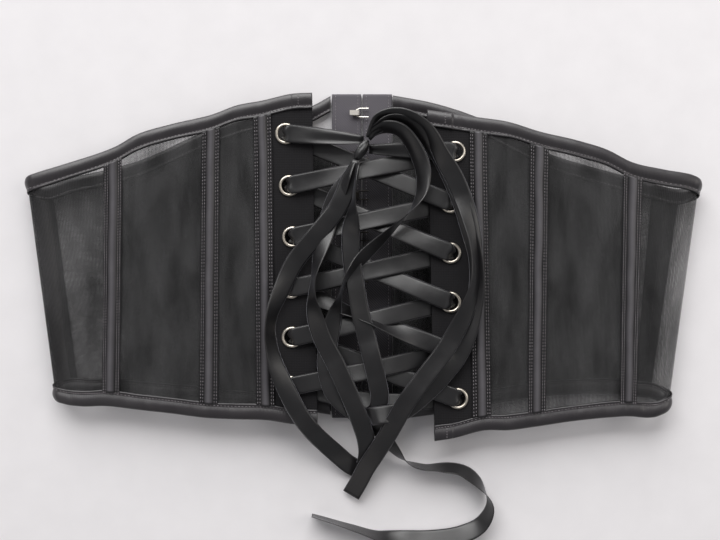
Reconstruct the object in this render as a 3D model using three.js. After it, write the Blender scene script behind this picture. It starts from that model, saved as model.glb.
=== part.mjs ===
// A laced corset belt that lies flattened on a table, its laced side up.
// Units are millimetres. X runs to the right, Y towards the belt's top edge and Z up from the table.
// Sheer net panels, bound in satin along both edges, make a loop with two layers: the upper one has
// the lacing, and the lower one the hooks and eyes. The ribbon is tied in a long bow.
import * as THREE from "three";
import { mergeVertices } from "three/addons/utils/BufferGeometryUtils.js";

// Overall sizes
const HALF_WIDTH = 185.3; // from the middle to a side fold's outermost point
const HALF_HEIGHT = 95; // from the middle to the highest and the lowest point
const LAYER_GAP = 10; // between the middles of the two layers where they fold at the sides
const CENTRE_RISE = 1.6; // how much higher the upper layer is at the lacing than at the folds
const CLEARANCE = 0.3; // between neighbouring pieces

// Cloth
const NET_WALL = 1;
const BINDING_WALL = 1;
const BINDING_DEPTH = 8.6;
const BINDING_ROUND = 1.5; // how far in from its edge the binding starts to round off
const TAB_LENGTH = 12; // the turned end of each binding at the lacing
const TAB_EXTRA = 0.5; // how much thicker it is there
const CHANNEL_WIDTH = 9.8;
const CHANNEL_EDGE = 0.7; // thickness of a boning channel's stitched edges
const RIB_WIDTH = 5;
const RIB_HEIGHT = 2; // from the channel's underside to the top of its rib
const BAND_WIDTH = 12; // the flat side bands on the lower layer
const RIBBON_WIDTH = 10;
const RIBBON_THICKNESS = 1;

// Hooks, eyes and their tapes
const TAPE_THICKNESS = 2.8;
const TAPE_EDGE = 16.6; // from the closing line to a tape's outer edge
const TAPE_TOP_SHARE = 1; // of the half height
const TAPE_BOTTOM_SHARE = -0.885;
const CLOSING_LINE = -0.5; // where the two tapes meet
const ROWS_OF_HOOKS = 8;
const HOOK_PITCH = 22.6;
const FIRST_HOOK = 83.5; // height of the top hook
const HOOK_WIDTH = 2.6;
const HOOK_LENGTH = 5.2;
const HOOK_ROOT_SHARE = 0.7; // length of its lower half, which is sewn on, to that of its upper half
const HOOK_THICKNESS = 0.6;
const EYE_WIDTH = 4.7;
const EYE_REACH = 3.6; // how far an eye's loop reaches past its tape
const EYE_SLACK = 1.1; // between the eye's tip and the bend of the hook that holds it
const WIRE = 0.8;

// Eyelets
const EYELET_HOLE = 8.3;
const EYELET_FLANGE = 11.6;
const EYELET_TUBE = 0.6; // wall of the tube through the cloth
const EYELET_DOME = 1; // height of the flange over the cloth
const EYELET_SIDES = 14;

// The knot, which is drawn out along a line turned from the Y axis by some degrees, and the ribbon's
// width where it is drawn in to the knot
const KNOT = { x: -0.8, y: 61.1, z: 19.7, width: 6, length: 13, height: 5, turn: -32 };
const GATHERED_WIDTH = 6;

// Sizes that follow from the ones above
const SLOT = NET_WALL / 2 + CLEARANCE; // half the space inside a binding
const BINDING_HALF = SLOT + BINDING_WALL;
const BACK_Z = BINDING_HALF;
const FOLD_RADIUS = LAYER_GAP / 2;
const FOLD_EXTREME = HALF_WIDTH - BINDING_HALF;
const PLACKET_Z = BACK_Z + LAYER_GAP + CENTRE_RISE;
const NET_INSET = BINDING_WALL + BINDING_ROUND / 2 + CLEARANCE; // from a bound edge to the net's edge
const FOLD_STEPS = 6;
const HOOK_TAPE_SHARE = (TAPE_EDGE - CLOSING_LINE) / HALF_WIDTH; // where the lower layer ends
const EYE_TAPE_SHARE = (TAPE_EDGE + CLOSING_LINE) / HALF_WIDTH;
const FLAT_SHARE = 0.383; // the upper layer is level from the lacing out to this share of the half width
const RIBBON_STEP = RIBBON_WIDTH * 0.52; // between a loose ribbon's sections
const WIDENING = 2; // by how much the ribbon widens at each section away from the knot

// Where the belt's edges run, in shares of the half width outwards from the middle and of the half
// height. Each row is a line across the belt, from its bound top edge to its bound bottom edge.
const BELT = {
  left: {
    sign: -1,
    upper: [
      { at: "placket edge", top: [0.148, 0.978], bottom: [0.132, -0.909] },
      { at: "eyelets", top: [0.206, 0.972], bottom: [0.198, -0.904] },
      { at: "inner channel", top: [0.293, 0.933], bottom: [0.281, -0.881] },
      { at: "first panel", top: [0.367, 0.906], bottom: [0.364, -0.876] },
      { at: "middle channel", top: [0.441, 0.853], bottom: [0.449, -0.869] },
      { at: "second panel", top: [0.556, 0.801], bottom: [0.556, -0.844] },
      { at: "hollow", top: [0.656, 0.744], bottom: [0.65, -0.824] },
      { at: "outer channel", top: [0.724, 0.671], bottom: [0.735, -0.804] },
      { at: "side panel", top: [0.871, 0.574], bottom: [0.825, -0.804] },
    ],
    fold: { top: [0.997, 0.521, 0.468], bottom: [0.911, -0.79, -0.75] },
    lower: [
      { at: "side", top: [0.863, 0.511], bottom: [0.799, -0.75] },
      { at: "hip", top: [0.755, 0.557], bottom: [0.712, -0.757] },
      { at: "dip", top: [0.647, 0.619], bottom: [0.615, -0.77] },
      { at: "rise", top: [0.528, 0.725], bottom: [0.513, -0.785] },
      { at: "panel", top: [0.411, 0.825], bottom: [0.4, -0.81] },
      { at: "inner panel", top: [0.27, 0.893], bottom: [0.27, -0.835] },
      { at: "near the tape", top: [0.162, 0.915], bottom: [0.162, -0.85] },
      { at: "tape", top: [HOOK_TAPE_SHARE, 0.985], bottom: [HOOK_TAPE_SHARE, -0.869] },
    ],
    band: 1.5, // how far the side band starts past the fold's outermost line, along the cloth
  },
  right: {
    sign: 1,
    upper: [
      { at: "placket edge", top: [0.187, 0.881], bottom: [0.208, -1] },
      { at: "eyelets", top: [0.268, 0.858], bottom: [0.268, -0.981] },
      { at: "inner channel", top: [0.332, 0.839], bottom: [0.347, -0.941] },
      { at: "first panel", top: [0.422, 0.813], bottom: [0.425, -0.938] },
      { at: "middle channel", top: [0.513, 0.759], bottom: [0.504, -0.918] },
      { at: "second panel", top: [0.627, 0.707], bottom: [0.618, -0.886] },
      { at: "hollow", top: [0.714, 0.654], bottom: [0.705, -0.869] },
      { at: "outer channel", top: [0.785, 0.585], bottom: [0.771, -0.861] },
      { at: "side panel", top: [0.88, 0.543], bottom: [0.837, -0.869] },
    ],
    fold: { top: [1, 0.512, 0.447], bottom: [0.907, -0.853, -0.784] },
    lower: [
      { at: "side", top: [0.853, 0.479], bottom: [0.799, -0.762] },
      { at: "hip", top: [0.766, 0.525], bottom: [0.734, -0.747] },
      { at: "dip", top: [0.669, 0.577], bottom: [0.658, -0.747] },
      { at: "rise", top: [0.567, 0.638], bottom: [0.561, -0.756] },
      { at: "panel", top: [0.465, 0.737], bottom: [0.465, -0.779] },
      { at: "inner panel", top: [0.346, 0.853], bottom: [0.346, -0.817] },
      { at: "near the tape", top: [0.216, 0.937], bottom: [0.216, -0.865] },
      { at: "tape", top: [EYE_TAPE_SHARE, 0.986], bottom: [EYE_TAPE_SHARE, -0.898] },
    ],
    band: 11,
  },
};

// The eyelets from the top down: height as a share of the half height, and the distance
// in from the placket's edge as a share of the placket's width.
const EYELETS = {
  left: [
    { height: 0.744, inset: 0.54 },
    { height: 0.449, inset: 0.48 },
    { height: 0.159, inset: 0.43 },
    { height: -0.131, inset: 0.48 },
    { height: -0.409, inset: 0.47 },
    { height: -0.687, inset: 0.53 },
  ],
  right: [
    { height: 0.642, inset: 0.54 },
    { height: 0.353, inset: 0.43 },
    { height: 0.068, inset: 0.41 },
    { height: -0.211, inset: 0.39 },
    { height: -0.495, inset: 0.43 },
    { height: -0.756, inset: 0.5 },
  ],
};

// The bow: routes of its ribbon's middle, from the knot outwards, chosen by eye as it lies.
const LONG_TAIL = [
  [2.9, 67.1, 20.6], [4.2, 71, 20.6], [8, 76.8, 20.6], [17, 79.1, 20.6], [25.5, 77, 20.6], [33.5, 71, 20.6],
  [41, 58.5, 20.6], [49, 45, 20.6], [56, 26.5, 20.6], [59.8, 8, 20.6], [59.2, -10.5, 20.6],
  [53.5, -27, 20.6], [44, -44.5, 20.6], [33, -59, 20.6], [22.5, -73.5, 20.6], [17, -83.5, 19.6],
  [12, -93, 16], [6.5, -102.5, 10.6], [2, -110, 6.8], [-2.5, -119, 4], [-6.6, -126.6, 1.6],
];
const CURLED_TAIL = [
  [2.9, 67.1, 17.6], [5.4, 70.2, 17.6], [11.8, 72.6, 17.6], [19.4, 71, 17.6], [26.6, 62.6, 17.6],
  [31.2, 51.4, 17.6], [31, 40, 17.6], [27.5, 32, 17.6], [19.8, 22.9, 17.6], [9, 12.6, 17.6], [1, 5, 17.6],
  [-8.6, -6.6, 17.6], [-13, -18.7, 17.6], [-17, -34.7, 17.6], [-19.6, -53.4, 17.6],
  [-15.5, -68, 17.4], [-7, -76.8, 15.2], [6, -86, 10.6], [16, -99, 5.4], [23.5, -107, 2.6],
  [33, -110.5, 1.2], [43, -110.8, 0.9], [54, -112.4, 0.9], [64, -120, 0.9], [69.5, -131.5, 0.9],
  [64.8, -142, 0.9], [53.7, -148.2, 0.9], [37, -150.6, 0.9], [20.5, -150.4, 0.9],
  [9.5, -148.6, 0.9], [-1.6, -145, 0.9], [-13, -141.4, 0.9], [-28, -137, 0.9],
];
// How the curled tail is turned about its own line, in degrees, at distances from the knot. A ribbon
// bends only one way, so it stands on its edge where it curls on the table.
const CURLED_TAIL_ROLLS = [
  { at: 0, roll: 0 },
  { at: 198, roll: 0 },
  { at: 216, roll: 32 },
  { at: 224, roll: 50 },
  { at: 232, roll: 68 },
  { at: 239, roll: 91 },
  { at: 253, roll: 101 },
  { at: 259, roll: 112 },
  { at: 267, roll: 118 },
  { at: 273, roll: 125 },
  { at: 279, roll: 118 },
  { at: 289, roll: 84 },
  { at: 300, roll: 60 },
  { at: 316, roll: 32 },
  { at: 333, roll: 28 },
  { at: 350, roll: 30 },
  { at: 358, roll: 48 },
  { at: 364, roll: 68 },
  { at: 381, roll: 84 },
  { at: 403, roll: 96 },
];
const LEVEL = [{ at: 0, roll: 0 }, { at: 1, roll: 0 }];
const LEFT_LOOP_IN = [
  [-4.5, 55.5, 17.6], [-9, 47, 17.6], [-16, 32, 17.6], [-20.3, 16, 17.6], [-24.6, 1.6, 17.8],
  [-26.6, -10.7, 18.6], [-26.6, -21.4, 19.1], [-22.4, -37.4, 19.1], [-14, -54, 19.1],
  [-6, -72, 18.9], [-1.4, -84, 16.6], [1.5, -94, 12], [2.4, -102, 7.4], [1.9, -107, 4.6],
  [0.6, -111.4, 2.2],
];
const LEFT_LOOP_OUT = [
  [0.6, -111.4, 2.2], [-3, -112.2, 1.2], [-7.5, -109.6, 1.6], [-14, -103.6, 4.4], [-21, -96.4, 10.4],
  [-28, -88, 16.4], [-34.4, -79, 17.6], [-41.6, -64.4, 17.6], [-46.8, -50.8, 17.6], [-49.2, -37.4, 17.6],
  [-48.2, -26.4, 17.6], [-43.4, -13.4, 17.6], [-36.3, 1.6, 18.2], [-25.6, 14.8, 20], [-12.6, 32, 20.6],
  [-7, 46, 20.6], [-4, 55.5, 20.6],
];
const RIGHT_LOOP_IN = [
  [-2.3, 54.4, 19.1], [-3.7, 48, 19.1], [-5.2, 34.7, 19.1], [-6.6, 13.3, 19.1], [-5.3, -2.7, 19.1],
  [-1.6, -24.1, 19.1], [3.7, -45.4, 19.1], [7.6, -62, 18.9], [9, -71, 17], [7.4, -78, 15.2],
  [3, -81.6, 15],
];
const RIGHT_LOOP_OUT = [
  [3, -81.6, 15], [6.4, -80.6, 16.6], [11, -79.8, 17], [16, -79.4, 17], [21, -78.2, 17],
  [26, -75, 17.1], [30, -71.6, 17.3], [38, -64.4, 17.6], [45, -56.4, 17.6], [51, -48, 17.6],
  [55.4, -37.4, 17.6], [58.6, -24.1, 17.6], [60.4, -11.4, 17.6], [59.8, 2, 17.6], [57, 16, 17.6],
  [52.8, 32, 17.6], [46.4, 47.8, 17.8],
  [38.4, 61.4, 18.8], [30.4, 70.4, 19.1], [22.4, 75.2, 19.1], [14.4, 76, 19.1], [8, 72.4, 19.1],
  [4.9, 70.4, 19.1], [2.9, 67.1, 19.1],
];

const SATIN = new THREE.MeshStandardMaterial({ color: 0x2d292b, roughness: 0.45, metalness: 0 });
const RIBBON = new THREE.MeshStandardMaterial({ color: 0x242226, roughness: 0.35, metalness: 0 });
const NET = new THREE.MeshStandardMaterial({
  color: 0x1c1a1c, roughness: 0.9, metalness: 0, transparent: true, opacity: 0.6,
});
const TWILL = new THREE.MeshStandardMaterial({ color: 0x343236, roughness: 0.85, metalness: 0 });
const NICKEL = new THREE.MeshStandardMaterial({ color: 0xcfc8be, roughness: 0.2, metalness: 1 });

const group = new THREE.Group();

// Adds a closed mesh with its doubled corners joined.
function addPiece(name, geometry, material) {
  geometry.deleteAttribute("normal");
  geometry.deleteAttribute("uv");
  const joined = mergeVertices(geometry, 1e-4);
  joined.computeVertexNormals();
  const mesh = new THREE.Mesh(joined, material.clone());
  mesh.name = name;
  group.add(mesh);
}

// Six times the volume inside the triangles, negative when they face inwards.
function signedVolume(points, triangles) {
  let total = 0;
  for (const [a, b, c] of triangles) {
    total += points[a].dot(new THREE.Vector3().crossVectors(points[b], points[c]));
  }
  return total;
}

// A closed solid through a row of rings with equally many points, capped by the outline at both ends.
function loft(rings, outline) {
  const count = outline.length;
  const points = rings.flat();
  const triangles = [];
  const last = (rings.length - 1) * count;
  const caps = THREE.ShapeUtils.triangulateShape(outline, []);
  for (let ring = 0; ring < rings.length - 1; ring++) {
    for (let k = 0; k < count; k++) {
      const a = ring * count + k;
      const b = ring * count + ((k + 1) % count);
      triangles.push([a, b, b + count], [a, b + count, a + count]);
    }
  }
  for (const [a, b, c] of caps) {
    triangles.push([c, b, a], [last + a, last + b, last + c]);
  }
  if (signedVolume(points, triangles) < 0) {
    triangles.forEach((triangle) => triangle.reverse());
  }
  const geometry = new THREE.BufferGeometry().setFromPoints(points);
  geometry.setIndex(triangles.flat());
  return geometry;
}

// The height of the upper layer's middle at a share of the half width.
function upperHeight(share) {
  const foldShare = (FOLD_EXTREME - FOLD_RADIUS) / HALF_WIDTH;
  const ramp = Math.min(1, Math.max(0, (foldShare - share) / (foldShare - FLAT_SHARE)));
  return BACK_Z + LAYER_GAP + CENTRE_RISE * ramp;
}

// A line across the cloth: its two ends and the way the cloth's outside faces there.
function crossing(side, top, bottom, z, normal) {
  return {
    top: new THREE.Vector3(side.sign * top[0] * HALF_WIDTH, top[1] * HALF_HEIGHT, z),
    bottom: new THREE.Vector3(side.sign * bottom[0] * HALF_WIDTH, bottom[1] * HALF_HEIGHT, z),
    normal,
  };
}

// All lines of one side, from the lacing round the fold to the hook and eye tapes.
function crossings(side) {
  const up = new THREE.Vector3(0, 0, 1);
  const rows = side.upper.map((row) => crossing(side, row.top, row.bottom, upperHeight(row.top[0]), up));
  const { top, bottom } = side.fold;
  for (let step = 0; step <= FOLD_STEPS; step++) {
    const share = step / FOLD_STEPS;
    const angle = Math.PI / 2 - Math.PI * share;
    const out = FOLD_EXTREME - FOLD_RADIUS * (1 - Math.cos(angle));
    const inset = HALF_WIDTH - out;
    const line = crossing(
      side,
      [top[0] - inset / HALF_WIDTH, THREE.MathUtils.lerp(top[1], top[2], share)],
      [bottom[0] - inset / HALF_WIDTH, THREE.MathUtils.lerp(bottom[1], bottom[2], share)],
      BACK_Z + FOLD_RADIUS * (1 + Math.sin(angle)),
      new THREE.Vector3(side.sign * Math.cos(angle), 0, Math.sin(angle)),
    );
    rows.push(line);
  }
  const down = new THREE.Vector3(0, 0, -1);
  return rows.concat(side.lower.map((row) => crossing(side, row.top, row.bottom, BACK_Z, down)));
}

for (const side of Object.values(BELT)) {
  side.rows = crossings(side);
  side.foldStart = side.upper.length;
  side.foldMiddle = side.foldStart + FOLD_STEPS / 2;
  side.foldEnd = side.foldStart + FOLD_STEPS;
  side.end = side.rows.length - 1;
}

// The number of an upper row by its name.
function upperRow(side, name) {
  return side.upper.findIndex((row) => row.at === name);
}

// A point on one row: a share of the way up, moved by an inset along the row and lifted off the cloth.
function onRow(row, share, inset, lift) {
  const upwards = row.top.clone().sub(row.bottom).normalize();
  const point = row.bottom.clone().lerp(row.top, share);
  return point.addScaledVector(upwards, inset).addScaledVector(row.normal, lift);
}

// The same between rows, where place counts rows and may be a fraction.
function onCloth(side, place, share, inset, lift) {
  const row = Math.min(Math.floor(place), side.end - 1);
  const near = onRow(side.rows[row], share, inset, lift);
  return near.lerp(onRow(side.rows[row + 1], share, inset, lift), place - row);
}

// The place that lies a distance along the cloth from another, measured at mid height.
function along(side, place, distance) {
  const step = Math.sign(distance) || 1;
  let left = Math.abs(distance);
  let here = place;
  while (left > 1e-9) {
    const next = step > 0 ? Math.floor(here + 1 + 1e-9) : Math.ceil(here - 1 - 1e-9);
    const from = onCloth(side, here, 0.5, 0, 0);
    const gap = from.distanceTo(onCloth(side, next, 0.5, 0, 0));
    if (gap >= left) {
      return here + (next - here) * (left / gap);
    }
    left -= gap;
    here = next;
  }
  return here;
}

// The places from one to another with every row between them.
function placesBetween(from, to) {
  const places = [from];
  for (let row = Math.floor(from) + 1; row < to - 1e-6; row++) {
    places.push(row);
  }
  places.push(to);
  return places;
}

// A solid on the cloth: at each place its outline is a list of corners (share, inset, lift).
function onClothSolid(side, places, outlineAt) {
  const rings = places.map((place) =>
    outlineAt(place).map((corner) => onCloth(side, place, corner.share, corner.inset, corner.lift)),
  );
  const outline = outlineAt(places[0]).map(
    (corner) => new THREE.Vector2(corner.share * HALF_HEIGHT + corner.inset, corner.lift),
  );
  if (THREE.ShapeUtils.isClockWise(outline)) {
    outline.reverse();
    rings.forEach((ring) => ring.reverse());
  }
  return loft(rings, outline);
}

// Net runs up inside the slots of both bindings.
function netPanel(side, from, to) {
  const half = NET_WALL / 2;
  const outline = [
    { share: 0, inset: NET_INSET, lift: -half },
    { share: 1, inset: -NET_INSET, lift: -half },
    { share: 1, inset: -NET_INSET, lift: half },
    { share: 0, inset: NET_INSET, lift: half },
  ];
  return onClothSolid(side, placesBetween(from, to), () => outline);
}

// Satin folded over a bound edge, with the slot that takes the net. Its end at the lacing is turned in.
function binding(side, share, to) {
  const inwards = share === 1 ? -1 : 1;
  const slotEnd = NET_INSET - CLEARANCE;
  const tabEnd = along(side, 0, TAB_LENGTH);
  const tabStep = along(side, 0, TAB_LENGTH + TAB_EXTRA);
  const outlineAt = (place) => {
    const half = BINDING_HALF + (place <= tabEnd ? TAB_EXTRA : 0);
    const corners = [
      [0, half * 0.45],
      [BINDING_ROUND, half],
      [BINDING_DEPTH, half],
      [BINDING_DEPTH, SLOT],
      [slotEnd, SLOT],
      [slotEnd, -SLOT],
      [BINDING_DEPTH, -SLOT],
      [BINDING_DEPTH, -half],
      [BINDING_ROUND, -half],
      [0, -half * 0.45],
    ];
    return corners.map(([depth, lift]) => ({ share, inset: inwards * depth, lift }));
  };
  const rows = placesBetween(0, to).filter((place) => place === 0 || place > tabStep);
  const between = placesBetween(0, tabEnd).slice(1, -1);
  const places = [rows[0], ...between, tabEnd, tabStep, ...rows.slice(1)];
  return onClothSolid(side, places, outlineAt);
}

// A strip that runs from binding to binding on the outside of the cloth, with its own thickness across.
function strip(side, places, thicknessAt) {
  const under = NET_WALL / 2 + CLEARANCE;
  const inset = BINDING_DEPTH + CLEARANCE;
  return onClothSolid(side, places, (place) => [
    { share: 0, inset, lift: under },
    { share: 1, inset: -inset, lift: under },
    { share: 1, inset: -inset, lift: under + thicknessAt(place) },
    { share: 0, inset, lift: under + thicknessAt(place) },
  ]);
}

// A boning channel: thin stitched edges and a rounded rib over the bone.
function channel(side, row) {
  const profile = [
    [-CHANNEL_WIDTH / 2, CHANNEL_EDGE],
    [-RIB_WIDTH / 2, CHANNEL_EDGE],
    [-RIB_WIDTH * 0.32, RIB_HEIGHT * 0.88],
    [0, RIB_HEIGHT],
    [RIB_WIDTH * 0.32, RIB_HEIGHT * 0.88],
    [RIB_WIDTH / 2, CHANNEL_EDGE],
    [CHANNEL_WIDTH / 2, CHANNEL_EDGE],
  ];
  const places = profile.map(([across]) => along(side, row, across));
  return strip(side, places, (place) => profile[places.indexOf(place)][1]);
}

// The flat band over the lower layer's side seam.
function sideBand(side) {
  const from = along(side, side.foldMiddle, side.band);
  const to = along(side, from, BAND_WIDTH);
  const thickness = BACK_Z - NET_WALL / 2 - CLEARANCE;
  return strip(side, placesBetween(from, to), () => thickness);
}

// The two places of the placket: the free edge, and the seam under the inner channel.
function placketEnds(side) {
  return [0, along(side, upperRow(side, "inner channel"), -CLEARANCE / 2)];
}

// Middle of an eyelet on its placket.
function eyeletCentre(side, row) {
  const y = row.height * HALF_HEIGHT;
  const { top, bottom } = side.rows[0];
  const share = (y - bottom.y) / (top.y - bottom.y);
  const edge = onRow(side.rows[0], share, 0, 0);
  const far = onRow(side.rows[upperRow(side, "inner channel")], share, 0, 0);
  return new THREE.Vector3(THREE.MathUtils.lerp(edge.x, far.x, row.inset), y, PLACKET_Z);
}

for (const [name, side] of Object.entries(BELT)) {
  side.eyelets = EYELETS[name].map((row) => eyeletCentre(side, row));
}

// The doubled strip of cloth that holds the eyelets.
function placket(side) {
  const [from, to] = placketEnds(side);
  const places = placesBetween(from, to);
  const corners = [
    ...places.map((place) => onCloth(side, place, 0, NET_INSET, 0)),
    ...places.reverse().map((place) => onCloth(side, place, 1, -NET_INSET, 0)),
  ];
  const shape = new THREE.Shape(corners.map((corner) => new THREE.Vector2(corner.x, corner.y)));
  for (const eyelet of side.eyelets) {
    const hole = new THREE.Path();
    hole.absarc(eyelet.x, eyelet.y, EYELET_HOLE / 2 + EYELET_TUBE + CLEARANCE, 0, Math.PI * 2);
    shape.holes.push(hole);
  }
  const geometry = new THREE.ExtrudeGeometry(shape, {
    depth: NET_WALL, bevelEnabled: false, curveSegments: EYELET_SIDES,
  });
  return geometry.translate(0, 0, PLACKET_Z - NET_WALL / 2);
}

// A two-part eyelet: a domed flange, the tube through the cloth and the flange rolled over below.
function eyelet(centre) {
  const hole = EYELET_HOLE / 2;
  const tube = hole + EYELET_TUBE;
  const flange = EYELET_FLANGE / 2;
  const face = NET_WALL / 2 + CLEARANCE;
  const profile = [
    [hole, -face - EYELET_DOME * 0.5],
    [flange - EYELET_TUBE * 0.6, -face - EYELET_DOME * 0.7],
    [flange, -face],
    [tube, -face],
    [tube, face],
    [flange, face],
    [flange - EYELET_TUBE * 0.6, face + EYELET_DOME * 0.9],
    [tube, face + EYELET_DOME],
    [hole, face + EYELET_DOME * 0.5],
    [hole, -face - EYELET_DOME * 0.5],
  ].map(([radius, height]) => new THREE.Vector2(radius, height));
  const geometry = new THREE.LatheGeometry(profile, EYELET_SIDES);
  return geometry.rotateX(Math.PI / 2).translate(centre.x, centre.y, centre.z);
}

// One half of the hook and eye fastening's twill tape, whose flat underside lies on the table.
function tape(from, to) {
  const top = TAPE_TOP_SHARE * HALF_HEIGHT;
  const bottom = TAPE_BOTTOM_SHARE * HALF_HEIGHT;
  const geometry = new THREE.BoxGeometry(to - from, top - bottom, TAPE_THICKNESS);
  return geometry.translate((from + to) / 2, (top + bottom) / 2, TAPE_THICKNESS / 2);
}

// A hook: a flat strip on the tape, bent up and back near the closing line, so it opens away from the
// line and a pull on the belt draws the eye's tip into the bend.
function hook(y) {
  const base = TAPE_THICKNESS + CLEARANCE;
  const inside = CLOSING_LINE - EYE_REACH + WIRE / 2 + EYE_SLACK;
  const bend = inside + HOOK_THICKNESS;
  const room = WIRE + 2 * CLEARANCE;
  const upper = base + HOOK_THICKNESS + room;
  const levels = [base, base + HOOK_THICKNESS, upper, upper + HOOK_THICKNESS];
  const root = bend - HOOK_LENGTH * HOOK_ROOT_SHARE;
  const tip = bend - HOOK_LENGTH;
  const profile = new THREE.Shape();
  profile.moveTo(root, levels[0]);
  profile.lineTo(inside, levels[0]);
  profile.lineTo(bend, levels[1]);
  profile.lineTo(bend, levels[2]);
  profile.lineTo(inside, levels[3]);
  profile.lineTo(tip, levels[3]);
  profile.lineTo(tip, levels[2]);
  profile.lineTo(inside, levels[2]);
  profile.lineTo(inside, levels[1]);
  profile.lineTo(root, levels[1]);
  profile.closePath();
  const geometry = new THREE.ExtrudeGeometry(profile, { depth: HOOK_WIDTH, bevelEnabled: false });
  return geometry.rotateX(Math.PI / 2).translate(0, y + HOOK_WIDTH / 2, 0);
}

// An eye: a wire loop that lies on its tape and reaches over the other into its hook.
function eye(y) {
  const level = TAPE_THICKNESS + CLEARANCE + HOOK_THICKNESS + CLEARANCE + WIRE / 2;
  const tip = CLOSING_LINE - EYE_REACH;
  const end = CLOSING_LINE + EYE_REACH;
  const half = EYE_WIDTH / 2;
  const at = (x, across) => new THREE.Vector3(x, y + across, level);
  const far = tip + half;
  const past = tip - half * 0.2;
  const route = new THREE.CurvePath();
  route.add(new THREE.LineCurve3(at(end, half), at(far, half)));
  route.add(new THREE.CubicBezierCurve3(at(far, half), at(past, half), at(past, -half), at(far, -half)));
  route.add(new THREE.LineCurve3(at(far, -half), at(end, -half)));
  const section = new THREE.Shape().absarc(0, 0, WIRE / 2, 0, Math.PI * 2);
  return new THREE.ExtrudeGeometry(section, {
    steps: 10, extrudePath: route, curveSegments: 3, bevelEnabled: false,
  });
}

// A flat ribbon along stations that give its middle, its width and which way it lies across.
function ribbon(stations) {
  const corners = [[-0.5, -0.5], [0.5, -0.5], [0.5, 0.5], [-0.5, 0.5]];
  const rings = stations.map((station, index) => {
    const before = stations[Math.max(0, index - 1)].middle;
    const after = stations[Math.min(stations.length - 1, index + 1)].middle;
    const ahead = after.clone().sub(before);
    const face = new THREE.Vector3().crossVectors(station.across, ahead).normalize();
    return corners.map(([u, v]) =>
      station.middle.clone()
        .addScaledVector(station.across, u * station.width)
        .addScaledVector(face, v * RIBBON_THICKNESS),
    );
  });
  return loft(rings, corners.map(([u, v]) => new THREE.Vector2(u, v)));
}

// The level direction across a level heading, turned to point towards the belt's top.
function acrossHeading(heading) {
  const across = new THREE.Vector3(-heading.y, heading.x, 0).normalize();
  return across.y < 0 ? across.negate() : across;
}

// How the ribbon goes through an eyelet. Its distance towards the other end and its width are
// shares of the ribbon's width, and its height is a share of a strap's.
const THROUGH = [
  { out: 0.02, height: 0.37, width: 0.6 },
  { out: 0.13, height: 0.85, width: 0.64 },
  { out: 0.3, height: 1, width: 0.88 },
  { out: 0.5, height: 1, width: 1 },
];
const STRAP_HEIGHT = 2.7; // of the ribbon's middle over the placket's
const UNDER_HEIGHT = -2.6; // and of its middle below it
const CROSSING_LIFT = 1.3; // how far the upper strap rises, and the lower one dips, where they cross
const STRAP_STEPS = 6;
const BAR_SLACK = 5; // how far the bar between the bottom eyelets hangs out of its straight line
// From the knot's middle to where the strand from each top eyelet ends
const STRAND_ENDS = { left: [1.2, 5.8, 0], right: [4, 1, 0] };

// The stations from an eyelet out to the start of the free strap, above the cloth or below it.
function throughEyelet(centre, heading, below) {
  const across = acrossHeading(heading);
  const rise = below ? UNDER_HEIGHT : STRAP_HEIGHT;
  return THROUGH.map(({ out, height, width }) => {
    const middle = centre.clone().addScaledVector(heading, out * RIBBON_WIDTH);
    return { middle: middle.setZ(centre.z + height * rise), across, width: width * RIBBON_WIDTH };
  });
}

// One strap: up out of one eyelet, over its placket, across the gap and under the other placket.
function strap(from, to, lift) {
  const heading = to.clone().sub(from).setZ(0).normalize();
  const start = throughEyelet(from, heading, false);
  const end = throughEyelet(to, heading.clone().negate(), true).reverse();
  const first = start[start.length - 1];
  const last = end[0];
  const middle = [];
  for (let step = 1; step < STRAP_STEPS; step++) {
    const share = step / STRAP_STEPS;
    const point = first.middle.clone().lerp(last.middle, share);
    point.z += lift * Math.sin(Math.PI * share);
    middle.push({ middle: point, across: first.across, width: RIBBON_WIDTH });
  }
  return [...start, ...middle, ...end];
}

// The strand from a top eyelet to the knot, which its end is tucked under.
function strandToKnot(from, to) {
  const heading = to.clone().sub(from).setZ(0).normalize();
  const start = throughEyelet(from, heading, false);
  const first = start[start.length - 1];
  const rest = [0.35, 0.7, 1].map((share) => ({
    middle: first.middle.clone().lerp(to, share).setZ(first.middle.z),
    across: first.across,
    width: THREE.MathUtils.lerp(RIBBON_WIDTH, GATHERED_WIDTH + WIDENING / 2, share * share),
  }));
  return [...start, ...rest];
}

// The bar between the two bottom eyelets is loose, so it hangs out towards the belt's bottom edge.
function looseBar(from, to) {
  const place = (share) => {
    const point = from.clone().lerp(to, share);
    return point.set(point.x, point.y - BAR_SLACK * Math.sin(Math.PI * share), from.z + UNDER_HEIGHT);
  };
  const headingAt = (share) => place(share + 0.05).sub(place(share - 0.05)).normalize();
  const middle = [0.3, 0.4, 0.5, 0.6, 0.7].map((share) => ({
    middle: place(share),
    across: acrossHeading(headingAt(share)),
    width: RIBBON_WIDTH,
  }));
  return [
    ...throughEyelet(from, headingAt(0.05), true),
    ...middle,
    ...throughEyelet(to, headingAt(0.95).negate(), true).reverse(),
  ];
}

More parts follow.
